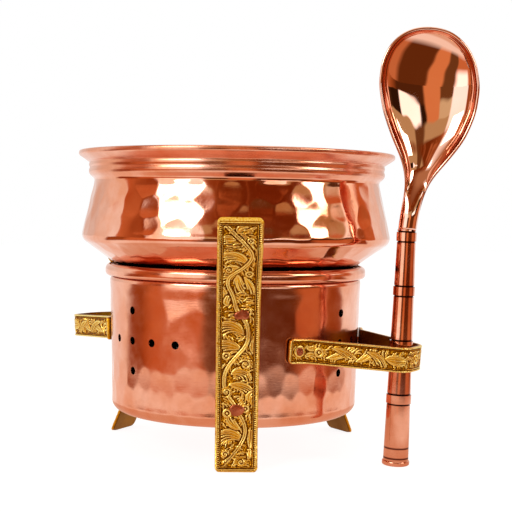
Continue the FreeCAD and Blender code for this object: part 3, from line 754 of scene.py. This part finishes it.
def carve(width, length, border, top, pitch, ornaments):
    """The relief of a strip, 1 at its border and 0 on its ground, with its tone, which paints shade in the
    grooves and a highlight on the ridges, and its edge distance.
    """
    panel = Panel(width, length, pitch)
    ornaments(panel, width / 2 - border - 0.6 * MM)
    grain = soften(seed.normal(0, 1, panel.height.shape), 1)
    edge = np.minimum((width / 2 - np.abs(panel.u))[None, :], np.minimum(panel.v, length - panel.v)[:, None])
    below_top = (length - panel.v)[:, None] - top
    frame_edge = np.minimum(edge, below_top)
    dentils = 0.5 + 0.5 * np.cos(2 * math.pi * panel.v / MILL_PITCH)[:, None]
    relief = 0.95 * panel.height + 0.03 * grain
    relief *= smooth_step(frame_edge, border + 0.65 * MM, border + 1.1 * MM)
    ridge = np.exp(-((frame_edge - border - 0.45 * MM) / (0.22 * MM)) ** 2) * 0.9
    relief = np.maximum(relief, ridge)
    band = 1 - smooth_step(frame_edge, border - 0.25 * MM, border + 0.1 * MM)
    nicks = np.clip(soften(np.abs(seed.normal(0, 1, panel.height.shape)), 3) - 0.8, 0, 1)
    milled = smooth_step(edge, 0.9 * MM, 1.1 * MM) * dentils * smooth_step(below_top, 0, border)
    relief = relief * (1 - band) + (0.98 - 0.55 * milled - 0.5 * nicks + 0.03 * grain) * band
    # Tone from the relief: painted shade in the grooves and beside the ridges, painted highlight on the ridges
    # and the high parts
    cavity = relief - soften(relief, 8)
    shade = relief - soften(relief, 45)
    tone = np.clip(0.46 + 1.3 * cavity + 0.40 * shade + 0.22 * (relief - 0.5) + 0.02 * grain, 0, 1)
    return panel, relief, tone, edge


PANEL_DEPTH = 0.95 * MM
# The tone at the back edges of a strap is a painted shade, which the strap's sides fade towards
EDGE_ROUND, BACK_PAINTED_SHADE = 0.7 * MM, 0.06
TOP_ROUND, TOP_DROP = 2.5 * MM, 1.9 * MM


def edge_drop(edge, round_by):
    """How far a worn outer edge falls away."""
    t = np.clip(1 - edge / round_by, 0, 1)
    return 0.65 * round_by * (1 - np.sqrt(1 - t * t))


def narrowed(panel, corner):
    """How much narrower a strip is near its two ends, where its corners are rounded."""
    near_end = np.minimum(panel.v, panel.v[-1] - panel.v)
    over = np.clip(corner - near_end, 0, corner)
    return corner - np.sqrt(corner ** 2 - over ** 2)


def strap_grid(face, inward, back, half, across, sink):
    """Front of a bent strap, sunk by its carving, and the two edges of its back, width along Y."""
    front = np.stack([
        face[:, :1] + inward[:, :1] * sink,
        half[:, None] * across,
        face[:, 1:] + inward[:, 1:] * sink,
    ], 2)
    sides = [np.stack([back[:, 0], way * half, back[:, 1]], 1) for way in (-1, 1)]
    return front, np.stack(sides, 1)


def strap_mesh(front, back, tone):
    """A closed strap from its carved front and its back's two edges, with the numbers of its back faces."""
    rows, columns = front.shape[:2]
    count = rows * columns
    verts = np.concatenate([front.reshape(-1, 3), back.reshape(-1, 3)])
    faces = grid_faces(rows, columns)
    first = len(faces)
    for i in range(rows - 1):
        a, b = count + 2 * i, count + 2 * (i + 1)
        left, right = i * columns, i * columns + columns - 1
        faces.append((a + 1, a, b, b + 1))
        faces.append((a, left, left + columns, b))
        faces.append((right, a + 1, b + 1, right + columns))
    top = (rows - 1) * columns
    faces.append(tuple(range(columns))[::-1] + (count, count + 1))
    faces.append(tuple(range(top, top + columns)) + (count + 2 * rows - 1, count + 2 * rows - 2))
    # Painted tone per point: the carving's shade and highlight on the front, a painted shade on the back edges
    shade = np.concatenate([tone.reshape(-1), np.full(2 * rows, BACK_PAINTED_SHADE)])
    return verts, faces, shade, range(first, first + 3 * (rows - 1), 3)


def strap_piece(name, mesh, place, body, replaced):
    verts, faces, shade, backs = mesh
    flat = np.asarray(place.to_3x3())
    verts = verts @ flat.T + np.asarray(place.translation)
    obj = piece(name, verts, faces, body, [brass, painted_shade_brass], replaced)
    # Back faces take the painted-shade brass
    for k in backs:
        obj.data.polygons[k].material_index = 1
    attribute = obj.data.attributes.new("tone", "FLOAT", "POINT")
    attribute.data.foreach_set("value", shade.astype(np.float32))
    sharpen(obj, 62)
    return obj


# Legs: strip bent over the rim bead, seen from the front a little wider at the top

LEG_TOP = leg_high.z
LEG_HALF, LEG_SPREAD, LEG_CORNER = 10.1 * MM, 0.6 * MM, 2.6 * MM
ANKLE, KNEE = 13 * MM, 80 * MM
SEAT = 0.1 * MM
ankle_face = wall_at(ANKLE) + SEAT
foot_face = 70.2 * MM
leg_path, leg_in = rounded([
    (2 * foot_face - ankle_face, -ANKLE),
    (ankle_face, ANKLE, 14 * MM),
    (wall_at(KNEE) + SEAT, KNEE, 14 * MM),
    (BEAD_AT + BEAD_RADIUS + 0.5 * MM, BEAD_HEIGHT, 8 * MM),
    (BELLY_RADIUS + 1 * MM, BELLY_HEIGHT, 8 * MM),
    (BELLY_RADIUS + 1 * MM, LEG_TOP + 20 * MM),
], 0.2 * MM)


def cut_level(points, normals, low, high):
    """The stretch of a rising path between two heights, with its ends on them."""
    height = points[:, 1]
    keep = (height > low) & (height < high)
    ends = []
    for level in (low, high):
        ends.append([np.interp(level, height, points[:, 0]), level])
    first, last = np.nonzero(keep)[0][[0, -1]]
    points = np.concatenate([[ends[0]], points[keep], [ends[1]]])
    normals = np.concatenate([normals[first:first + 1], normals[keep], normals[last:last + 1]])
    return points, normals


def even(points, normals, count):
    """The same path at evenly spaced points."""
    run = along(points)
    at = np.linspace(0, run[-1], count)
    points = np.stack([np.interp(at, run, points[:, k]) for k in (0, 1)], 1)
    normals = np.stack([np.interp(at, run, normals[:, k]) for k in (0, 1)], 1)
    return points, normals / np.linalg.norm(normals, axis=1)[:, None]


def leg_mesh():
    """One leg in its own frame: radius along X, width along Y."""
    face, face_in = cut_level(leg_path - leg_in * STRAP, leg_in, 0, LEG_TOP)
    back, back_in = cut_level(leg_path, leg_in, 0, LEG_TOP)
    length = along(face)[-1]
    panel, relief, tone, edge = carve(2 * LEG_HALF, length, 1.9 * MM, 1.2 * MM, 0.19 * MM, carve_leg)
    rows = len(panel.v)
    face, face_in = even(face, face_in, rows)
    back, _ = even(back, back_in, rows)
    half = LEG_HALF + LEG_SPREAD * face[:, 1] / LEG_TOP - narrowed(panel, LEG_CORNER)
    top_drop = TOP_DROP * np.clip(1 - (length - panel.v)[:, None] / TOP_ROUND, 0, 1) ** 1.15
    sink = (1 - relief) * PANEL_DEPTH + np.maximum(edge_drop(edge, EDGE_ROUND), top_drop)
    front, sides = strap_grid(face, face_in, back, half, panel.u / LEG_HALF, sink)
    front[:, :, 2] = np.clip(front[:, :, 2], 0, LEG_TOP)
    return strap_mesh(front, sides, tone)


leg = leg_mesh()
for name, turn in LEG_TURNS.items():
    strap_piece(f"{name}_leg_carved", leg, turned(turn), "stand", [f"{name}_leg"])

# Handles: strap bent to a loop that droops from the wall

HANDLE_HALF, HANDLE_REACH, HANDLE_GAP, DROOP = 6 * MM, 105 * MM, 17 * MM, 4
HANDLE_CORNER = 2 * MM
HANDLE_SPREAD, TAB_GAP, TAB_IN, TAB_OUT = math.radians(29.5), 0.3 * MM, 5 * MM, 5.5 * MM
HANDLE_HEIGHTS = {"right": 55.5 * MM, "left": 59 * MM}


def drooped(name):
    """A handle's frame before it is turned to its side: its loop droops from the wall."""
    height = HANDLE_HEIGHTS[name]
    reach = wall_at(height)
    hang = Matrix.Translation((reach, 0, height)) @ Matrix.Rotation(math.radians(DROOP), 4, "Y")
    return hang @ Matrix.Translation((-reach, 0, 0))


def handle_place(name):
    """A handle's own frame, in its place on the drum."""
    return turned(HANDLE_TURNS[name]) @ drooped(name)


def handle_mesh(name):
    """One handle in its own frame, its loop in the XY plane."""
    face = wall_at(HANDLE_HEIGHTS[name]) + TAB_GAP
    out, side = math.cos(HANDLE_SPREAD), math.sin(HANDLE_SPREAD)
    end = (face * out - TAB_OUT * side, face * side + TAB_OUT * out)
    root = (face * out + TAB_IN * side, face * side - TAB_IN * out)
    far = HANDLE_REACH - STRAP
    path, inward = rounded([
        end,
        (*root, 5 * MM),
        (far, HANDLE_GAP / 2, 8 * MM),
        (far, -HANDLE_GAP / 2, 8 * MM),
        (root[0], -root[1], 5 * MM),
        (end[0], -end[1]),
    ], 0.2 * MM)
    inward = -inward
    face_path = path - inward * STRAP
    length = along(face_path)[-1]
    panel, relief, tone, edge = carve(2 * HANDLE_HALF, length, 0.9 * MM, 0, 0.19 * MM, carve_handle)
    rows = len(panel.v)
    back, _ = even(path, inward, rows)
    front_line, front_in = even(face_path, inward, rows)
    half = HANDLE_HALF - narrowed(panel, HANDLE_CORNER)
    sink = (1 - relief) * PANEL_DEPTH * 0.85 + edge_drop(edge, EDGE_ROUND)
    front, sides = strap_grid(front_line, front_in, back, half, panel.u / HANDLE_HALF, sink)
    return strap_mesh(front[:, :, [0, 2, 1]], sides[:, :, [0, 2, 1]], tone)


for name in HANDLE_TURNS:
    strap_piece(f"{name}_handle_carved", handle_mesh(name), handle_place(name), "stand",
                [f"{name}_handle"])

# Rivets: hammered by hand, so their heads are uneven; copper darkened with age

RIVET_RADIUS, TAIL_RADIUS, HEAD_HEIGHT, GROUND = 1.5 * MM, 2.4 * MM, 1.2 * MM, 1.6 * MM
LEG_HEAD, HANDLE_HEAD = 3.9 * MM, 2.2 * MM
LEG_RIVETS = (28.5 * MM, 74 * MM)
LEG_ASKEW = (0, 1.7 * MM)
TAPER = Matrix.Rotation(math.atan(WALL_SLOPE), 4, "Y")


def rivet_points(place, head, gap, askew):
    """Points of one rivet along X: its tail inside the wall, its shank and its beaten head, driven askew."""
    grip = gap + GROUND
    profile = np.array([
        (-3.5, 0, 0), (-3.5, 0.66, 0), (-3.25, 0.92, 0), (-2.9, 1, 0), (-2.3, 1, 0),
    ])
    tail = profile * (MM, TAIL_RADIUS, 0)
    shank = np.array([(-2.3 * MM, RIVET_RADIUS, 0), (grip, RIVET_RADIUS, 0)])
    crown = np.array([
        (0, 1.0, 1), (0.30, 1.0, 1), (0.58, 0.96, 1), (0.78, 0.86, 1), (0.90, 0.68, 1), (0.96, 0.45, 1),
        (1.0, 0.22, 1), (1.0, 0, 1),
    ]) * (HEAD_HEIGHT, head, 1) + (grip, 0, 0)
    rows = np.concatenate([tail, shank, crown])
    angle = np.linspace(0, 2 * math.pi, 48, endpoint=False)
    swell = np.zeros_like(angle)
    lump = np.zeros_like(angle)
    for wave in (2, 3, 4, 5):
        swell += seed.normal(0, 0.16 / wave) * np.cos(wave * angle + seed.uniform(0, 6))
        lump += seed.normal(0, 0.5 / wave) * np.cos(wave * angle + seed.uniform(0, 6))
    swell -= swell.max()
    points = []
    for x, radius, beaten in rows:
        r = radius * (1 + beaten * swell)
        dip = beaten * 0.3 * (x - grip) * lump * np.sin(math.pi * min(1, radius / head)) * (x > grip)
        squat = 1 - 0.2 * beaten * (head > 3 * MM)
        ring = np.stack([x - np.abs(dip), r * np.cos(angle) + beaten * askew, r * squat * np.sin(angle)], 1)
        points.append(ring @ np.asarray(place.to_3x3()).T + np.asarray(place.translation))
    return np.array(points)


def rivet_set(owner, places, head, gap, askew=(0, 0)):
    """All the rivets that hold one strap, as one object."""
    verts, faces = [], []
    for place, shift in zip(places, askew):
        points = rivet_points(place, head, gap, shift)
        faces += grid_faces(*points.shape[:2], closed=True, base=sum(len(v) for v in verts), flip=True)
        verts.append(points.reshape(-1, 3))
    obj = piece(f"{owner}_rivets_beaten", np.concatenate(verts), faces, "stand", copper_rivet,
                [f"{owner}_rivets"])
    sharpen(obj, 50)


for name, turn in LEG_TURNS.items():
    seats = [turned(turn) @ Matrix.Translation((wall_at(z), 0, z)) @ TAPER for z in LEG_RIVETS]
    rivet_set(f"{name}_leg", seats, LEG_HEAD, SEAT, LEG_ASKEW)
for name in HANDLE_TURNS:
    reach = Matrix.Translation((wall_at(HANDLE_HEIGHTS[name]), 0, 0))
    seats = [handle_place(name) @ Matrix.Rotation(way * HANDLE_SPREAD, 4, "Z") @ reach for way in (-1, 1)]
    rivet_set(f"{name}_handle", seats, HANDLE_HEAD, TAB_GAP)

# Spoon head: forged neck that opens into a thin polished bowl

SPOON_LEAN = math.radians(1.7)
TUBE_END, TUBE_TOP_RADIUS, TUBE_LENGTH = 6.2 * MM, 4.4 * MM, 115.3 * MM
RING_STEP, CAP_RADIUS, REST_GAP = 0.35 * MM, 6.7 * MM, 0.38 * MM
HEAD_LENGTH, HEAD_HALF, HEAD_DEPTH, HEAD_SHIFT, HEAD_WALL = 97 * MM, 24.9 * MM, 12.5 * MM, 7.6 * MM, 1.3 * MM
HEAD_TABLE = np.array((
    # shares of the head's length, its half width, its depth, the way forward to its brim, its shift
    (0.00, 0.177, 0.352, 0.00, 0.00), (0.10, 0.182, 0.36, 0.00, 0.17), (0.18, 0.197, 0.37, 0.15, 0.36),
    (0.24, 0.230, 0.44, 0.50, 0.49), (0.34, 0.445, 0.72, 1.00, 0.83), (0.45, 0.715, 0.90, 1.00, 0.98),
    (0.58, 0.910, 0.99, 1.00, 0.97), (0.71, 0.985, 1.00, 1.00, 0.89), (0.82, 0.925, 0.90, 1.00, 0.82),
    (0.90, 0.775, 0.71, 1.00, 0.78), (0.955, 0.570, 0.49, 1.00, 0.76), (0.988, 0.325, 0.26, 1.00, 0.76),
    (1.0, 0.0, 0.0, 1.00, 0.76),
))


def spoon_place():
    """The spoon's own frame: its foot on the table, leaning out into the right handle's loop."""
    rest = drooped("right") @ Vector((HANDLE_REACH - STRAP, 0, -HANDLE_HALF))
    ring = TUBE_END - rest.z * (TUBE_END - TUBE_TOP_RADIUS) / TUBE_LENGTH + RING_STEP
    reach = rest.x - REST_GAP - ring / math.cos(SPOON_LEAN) - rest.z * math.tan(SPOON_LEAN)
    spin = turned(HANDLE_TURNS["right"])
    foot = spin @ Vector((reach, 0, CAP_RADIUS * math.sin(SPOON_LEAN)))
    return Matrix.Translation(foot) @ Matrix.Rotation(SPOON_LEAN, 4, spin @ Vector((0, 1, 0)))


def eased(column, at, tip):
    """A column of the head's table as a smooth line; past the tip it runs on mirrored or reversed."""
    knots = 1 - np.sqrt(1 - HEAD_TABLE[:, 0])
    fine = np.arange(-0.25, 1.2501, 0.0025)
    line = np.interp(1 - np.abs(1 - fine), knots, HEAD_TABLE[:, column])
    line = np.where(fine > 1, tip * line, line)
    spread = np.exp(-0.5 * (np.arange(-40, 41) * 0.0025 / 0.026) ** 2)
    return np.interp(at, fine, np.convolve(line, spread / spread.sum(), "same"))


def spoon_head():
    """The head in the spoon's frame: back and front skins of one grid, joined round the brim."""
    rows, columns = 190, 81
    at = np.linspace(0, 0.9985, rows)
    share = 1 - (1 - at) ** 2
    wide, deep = eased(1, at, -1) * HEAD_HALF, eased(2, at, -1) * HEAD_DEPTH
    middle = eased(4, at, 1) * HEAD_SHIFT
    brim = -eased(3, at, 1) * TUBE_TOP_RADIUS
    angle = np.linspace(0, math.pi, columns)
    rise = np.broadcast_to((TUBE_LENGTH + 0.1 * MM + share * HEAD_LENGTH)[:, None], (rows, columns))
    back = np.stack([middle[:, None] + wide[:, None] * np.cos(angle),
                     brim[:, None] + deep[:, None] * np.sin(angle), rise], 2)
    across, up = np.gradient(back, axis=1), np.gradient(back, axis=0)
    normal = np.cross(across, up)
    normal /= np.linalg.norm(normal, axis=2)[:, :, None]
    hollow = back - HEAD_WALL * normal
    round_front = back.copy()
    round_front[:, :, 1] = 2 * brim[:, None] - back[:, :, 1]
    open_share = smooth_step(share, 0.05, 0.31)[:, None, None]
    front = round_front * (1 - open_share) + hollow * open_share
    lip = []
    for side in (0, -1):
        edge = (back[:, side] + front[:, side]) / 2
        edge[:, 1] -= 0.28 * MM * open_share[:, 0, 0]
        lip.append(edge)
    loop = np.concatenate([back, lip[1][:, None], front[:, ::-1], lip[0][:, None]], 1)
    count = loop.shape[1]
    faces = grid_faces(rows, count, closed=True)
    faces.append(tuple(range(count))[::-1])
    faces.append(tuple(range((rows - 1) * count, rows * count)))
    return loop.reshape(-1, 3), faces


verts, faces = spoon_head()
lean = spoon_place()
verts = verts @ np.asarray(lean.to_3x3()).T + np.asarray(lean.translation)
piece("spoon_head_polished", verts, faces, "spoon", copper_spoon, ["spoon_head"])

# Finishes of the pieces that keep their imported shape

RING_FIRST, RING_PITCH = 30.5 * MM, 26.4 * MM
# how much of the copper shows through the painted shade in the grooves, along the way from one ring to the next
GROOVES = (
    (0.0, 0.5), (0.012, 1), (0.150, 1), (0.166, 0), (0.180, 0), (0.200, 1), (0.960, 1), (0.980, 0), (0.994, 0),
)


def darken_grooves(material, place):
    """Painted shade in the grooves beside a tube's rings, which repeat along the tube's own axis."""
    tree = material.node_tree
    bsdf = tree.nodes["Principled BSDF"]
    axis = place.to_3x3().col[2]
    run = maths(tree, "DOT_PRODUCT", own_place(tree), axis, kind="ShaderNodeVectorMath")
    above = maths(tree, "SUBTRACT", run, place.translation.dot(axis) + RING_FIRST)
    share = ranged(tree, maths(tree, "FLOORED_MODULO", above, RING_PITCH), 0, 1, (0, RING_PITCH))
    unshaded_share = ramp(tree, share, [(at, (tone, tone, tone)) for at, tone in GROOVES])
    copper = bsdf.inputs["Base Color"].links[0].from_socket
    # Near-black painted shade mixed over the copper in the grooves
    feed(tree, bsdf, Base_Color=mixed(tree, unshaded_share, (0.13, 0.026, 0.010), copper))


darken_grooves(copper_tube, lean)
FINISH = {
    "bowl_liner": steel,
    "rim_wire": copper_wire,
    "fuel_cup": cup_steel,
    "spoon_tube": copper_tube,
    "spoon_end_cap": copper_tube,
    "leg_rivet_burrs": burr_brass,
    "handle_rivet_burrs": burr_brass,
}
for name, finish in FINISH.items():
    nodes[name].data.materials.clear()
    nodes[name].data.materials.append(finish)

# Studio: white table and backdrop, two soft boxes in front, and a dim warm room about the camera

def level(degrees):
    """Place on the ring of directions, counted from the camera's side towards +X."""
    return (degrees + 180) / 360


WHITE, PALE = (1.0, 1.0, 1.0), (0.80, 0.78, 0.76)
WARM, SHADE, DARK = (0.62, 0.20, 0.070), (0.33, 0.085, 0.020), (0.17, 0.032, 0.004)
NONE, BROWN, BLACK = (0, 0, 0), (0.16, 0.060, 0.018), (0.030, 0.010, 0.003)
BEIGE, ORANGE, BAND, CARD = (0.68, 0.55, 0.33), (0.72, 0.27, 0.10), (1.35, 1.35, 1.35), (1.7, 1.7, 1.7)
PATCH, GLOW, DUSK = (0.52, 0.170, 0.058), (0.58, 0.20, 0.075), (0.085, 0.024, 0.006)
EMBER, TAN = (0.13, 0.034, 0.007), (0.52, 0.36, 0.18)
CEILING, ZENITH = (0.45, 0.22, 0.11), (1.15, 1.10, 1.0)
# Floor colours that mirrors see, a painted shadow at the kettle's foot and the near floor, then the floor's
# white to the camera
FLOOR_PAINTED_SHADOW, FLOOR_NEAR, FLOOR_SEEN = (0.80, 0.55, 0.42), (1.0, 0.90, 0.84), (1.22, 1.22, 1.22)

# What stands round the kettle: colours at a turn from the camera's side towards +X, or between two
SIDE_LEFT = ((-180, WHITE), (-140, PALE), (-104, WHITE), (-98, WARM))
SIDE_RIGHT = ((116, WARM), (123, WHITE), (150, PALE), (180, WHITE))
LIT_LEFT = SIDE_LEFT + ((-74, -70, SHADE), (-68, -29, BAND))
ROOM = SIDE_LEFT + (
    (-66, WARM), (-64, -30, BAND), (-28, SHADE), (-4, 48, DARK), (62, SHADE), (80, WARM),
) + SIDE_RIGHT
# Strips of the room behind the camera, from the table upwards, that only the spoon's hollow shows
BASE_STRIP = LIT_LEFT + (
    (-27, -10, BROWN), (-8, 10, ORANGE), (13, 54, DUSK), (66, SHADE), (90, WARM),
) + SIDE_RIGHT
LOW_STRIP = LIT_LEFT + (
    (-27, -10, BEIGE), (-8, 10, ORANGE), (12, 18, BLACK), (20, 49, CARD), (52, 72, BLACK), (95, BROWN),
) + SIDE_RIGHT
HIGH_STRIP = LIT_LEFT + (
    (-27, 13, TAN), (16, 28, BROWN), (31, 80, TAN), (88, 104, BAND), (108, WARM),
) + SIDE_RIGHT
# The far table and the room before it, painted into the floor for glossy rays: a painted reflection seen in the
# drum's wall and in the top of the spoon
TABLE = (
    (-180, -109, WHITE), (-104, -86, SHADE), (-78, -28, WARM), (-25, -9, BROWN), (-6, 10, ORANGE),
    (13, 48, EMBER), (58, 83, GLOW), (89, 102, SHADE), (108, 180, WHITE),
)


def ring(tree, turn, stops):
    """A ramp over the ring of directions, its colours given at one turn or from one to another."""
    return ramp(tree, turn, [(level(degrees), colour) for *turns, colour in stops for degrees in turns])


def facing(tree, vector):
    """Share of the ring of directions that a vector points to."""
    split = axes(tree, vector)
    turn = maths(tree, "ARCTAN2", split["X"], maths(tree, "MULTIPLY", split["Y"], -1))
    return ranged(tree, turn, 0, 1, (-math.pi, math.pi)), split["Z"]


def floor_finish():
    """White table: plain white to the camera but for shadows. To glossy rays it glows instead: a painted shadow
    ring round the kettle's foot, then near white, then from about 0.3 m a painted reflection of the room, with
    a painted pool of the left box's light from 0.6 m out.
    """
    material, tree, bsdf = shader("white_table")
    feed(tree, bsdf, Base_Color=(0.86, 0.86, 0.86, 1), Roughness=0.7, Specular_IOR_Level=0.2)
    rays = tree.nodes.new("ShaderNodeLightPath").outputs
    place = tree.nodes.new("ShaderNodeNewGeometry").outputs["Position"]
    away = maths(tree, "LENGTH", place, kind="ShaderNodeVectorMath")
    turn, _ = facing(tree, place)
    room = ring(tree, turn, TABLE)
    box = ring(tree, turn, ((-68, NONE), (-60, -32, WHITE), (-24, NONE)))
    # Painted pool of the left box's light on the far floor, seen in mirrors only
    lit = maths(tree, "MULTIPLY", box, ranged(tree, away, 0, 1, (0.60, 1.05)))
    beyond = mixed(tree, lit, room, CARD)
    near = mixed(tree, ranged(tree, away, 0, 1, (0.135, 0.165)), FLOOR_PAINTED_SHADOW, FLOOR_NEAR)
    mirrored = mixed(tree, ranged(tree, away, 0, 1, (0.23, 0.30)), near, beyond)
    colour = mixed(tree, rays["Is Camera Ray"], mirrored, FLOOR_SEEN)
    mix = tree.nodes.new("ShaderNodeMixShader")
    part = maths(tree, "MULTIPLY_ADD", rays["Is Camera Ray"], 0.75, rays["Is Glossy Ray"])
    glow = add(tree, "ShaderNodeEmission", Color=colour)
    for source, socket in zip((part, bsdf.outputs[0], glow.outputs[0]), mix.inputs):
        tree.links.new(source, socket)
    tree.links.new(mix.outputs[0], tree.nodes["Material Output"].inputs["Surface"])
    return material


FLOOR_HALF = 3.0
floor_mesh = bpy.data.meshes.new("floor")
floor_mesh.from_pydata([
    (-FLOOR_HALF, -FLOOR_HALF, 0), (FLOOR_HALF, -FLOOR_HALF, 0),
    (FLOOR_HALF, FLOOR_HALF, 0), (-FLOOR_HALF, FLOOR_HALF, 0)], [], [(0, 1, 2, 3)])
floor_mesh.materials.append(floor_finish())
floor = bpy.data.objects.new("floor", floor_mesh)
bpy.context.collection.objects.link(floor)

world = bpy.data.worlds.new("studio")
bpy.context.scene.world = world
world.use_nodes = True
tree = world.node_tree
way = tree.nodes.new("ShaderNodeTexCoord").outputs["Generated"]
turn, height = facing(tree, way)
turn = maths(tree, "ADD", turn, ranged(tree, cloud(tree, way, 3, 0), -0.014, 0.014))
height = maths(tree, "ADD", height, ranged(tree, cloud(tree, way, 4, 0), -0.03, 0.03))
room = ring(tree, turn, ROOM)
patches = cloud(tree, way, 7, 5, 0.6)
zone = ring(tree, turn, ((-100, NONE), (-92, 108, WHITE), (116, NONE)))
cover = maths(tree, "MULTIPLY", ranged(tree, patches, 0, 0.75, (0.52, 0.64)), zone)
room = mixed(tree, cover, room, PATCH)
sky = ring(tree, turn, BASE_STRIP)
for stops, low in ((LOW_STRIP, 0.085), (HIGH_STRIP, 0.215)):
    sky = mixed(tree, ranged(tree, height, 0, 1, (low, low + 0.015)), sky, ring(tree, turn, stops))
sky = mixed(tree, ranged(tree, height, 0, 1, (0.33, 0.37)), sky, room)
sky = mixed(tree, ranged(tree, height, 0, 1, (0.52, 0.70)), sky, CEILING)
sky = mixed(tree, ranged(tree, height, 0, 1, (0.80, 0.92)), sky, ZENITH)
seen = tree.nodes.new("ShaderNodeLightPath").outputs["Is Camera Ray"]
feed(tree, tree.nodes["Background"], Color=mixed(tree, seen, sky, WHITE))


def soft_box(name, turn, rise, distance, wide, high, power):
    """A rectangular lamp that faces the kettle from a direction."""
    lamp = bpy.data.lights.new(name, "AREA")
    lamp.shape = "RECTANGLE"
    lamp.size, lamp.size_y = wide, high
    lamp.energy = power
    obj = bpy.data.objects.new(name, lamp)
    bpy.context.collection.objects.link(obj)
    a, e = math.radians(turn), math.radians(rise)
    away = Vector((math.sin(a) * math.cos(e), -math.cos(a) * math.cos(e), math.sin(e)))
    aim = Vector((0, 0, 0.1))
    obj.location = aim + away * distance
    obj.rotation_mode = "QUATERNION"
    obj.rotation_quaternion = away.to_track_quat("Z", "Y")
    obj.visible_camera = False
    return obj


soft_box("left_box", -45, 29, 1.2, 0.56, 0.38, 3.6)
soft_box("right_box", 61.5, 29, 1.2, 0.40, 0.38, 2.5)

# Camera: level with the bowl's belly, a little to the left of the front leg

EYE = Vector((-0.0144, -0.6094, 0.1238))
PITCH, YAW, ROLL = math.radians(2.305), math.radians(2.355), math.radians(0.95)
FOCAL_PIXELS, FRAME_PIXELS = 1150, 512
camera_data = bpy.data.cameras.new("camera")
camera_data.sensor_width = 36
camera_data.lens = 36 * FOCAL_PIXELS / FRAME_PIXELS
camera = bpy.data.objects.new("camera", camera_data)
bpy.context.collection.objects.link(camera)
gaze = Vector((math.sin(YAW) * math.cos(PITCH), math.cos(YAW) * math.cos(PITCH), -math.sin(PITCH)))
camera.location = EYE
camera.rotation_mode = "QUATERNION"
camera.rotation_quaternion = gaze.to_track_quat("-Z", "Y") @ Quaternion((0, 0, 1), ROLL)
bpy.context.scene.camera = camera
bpy.context.scene.view_settings.view_transform = "Standard"
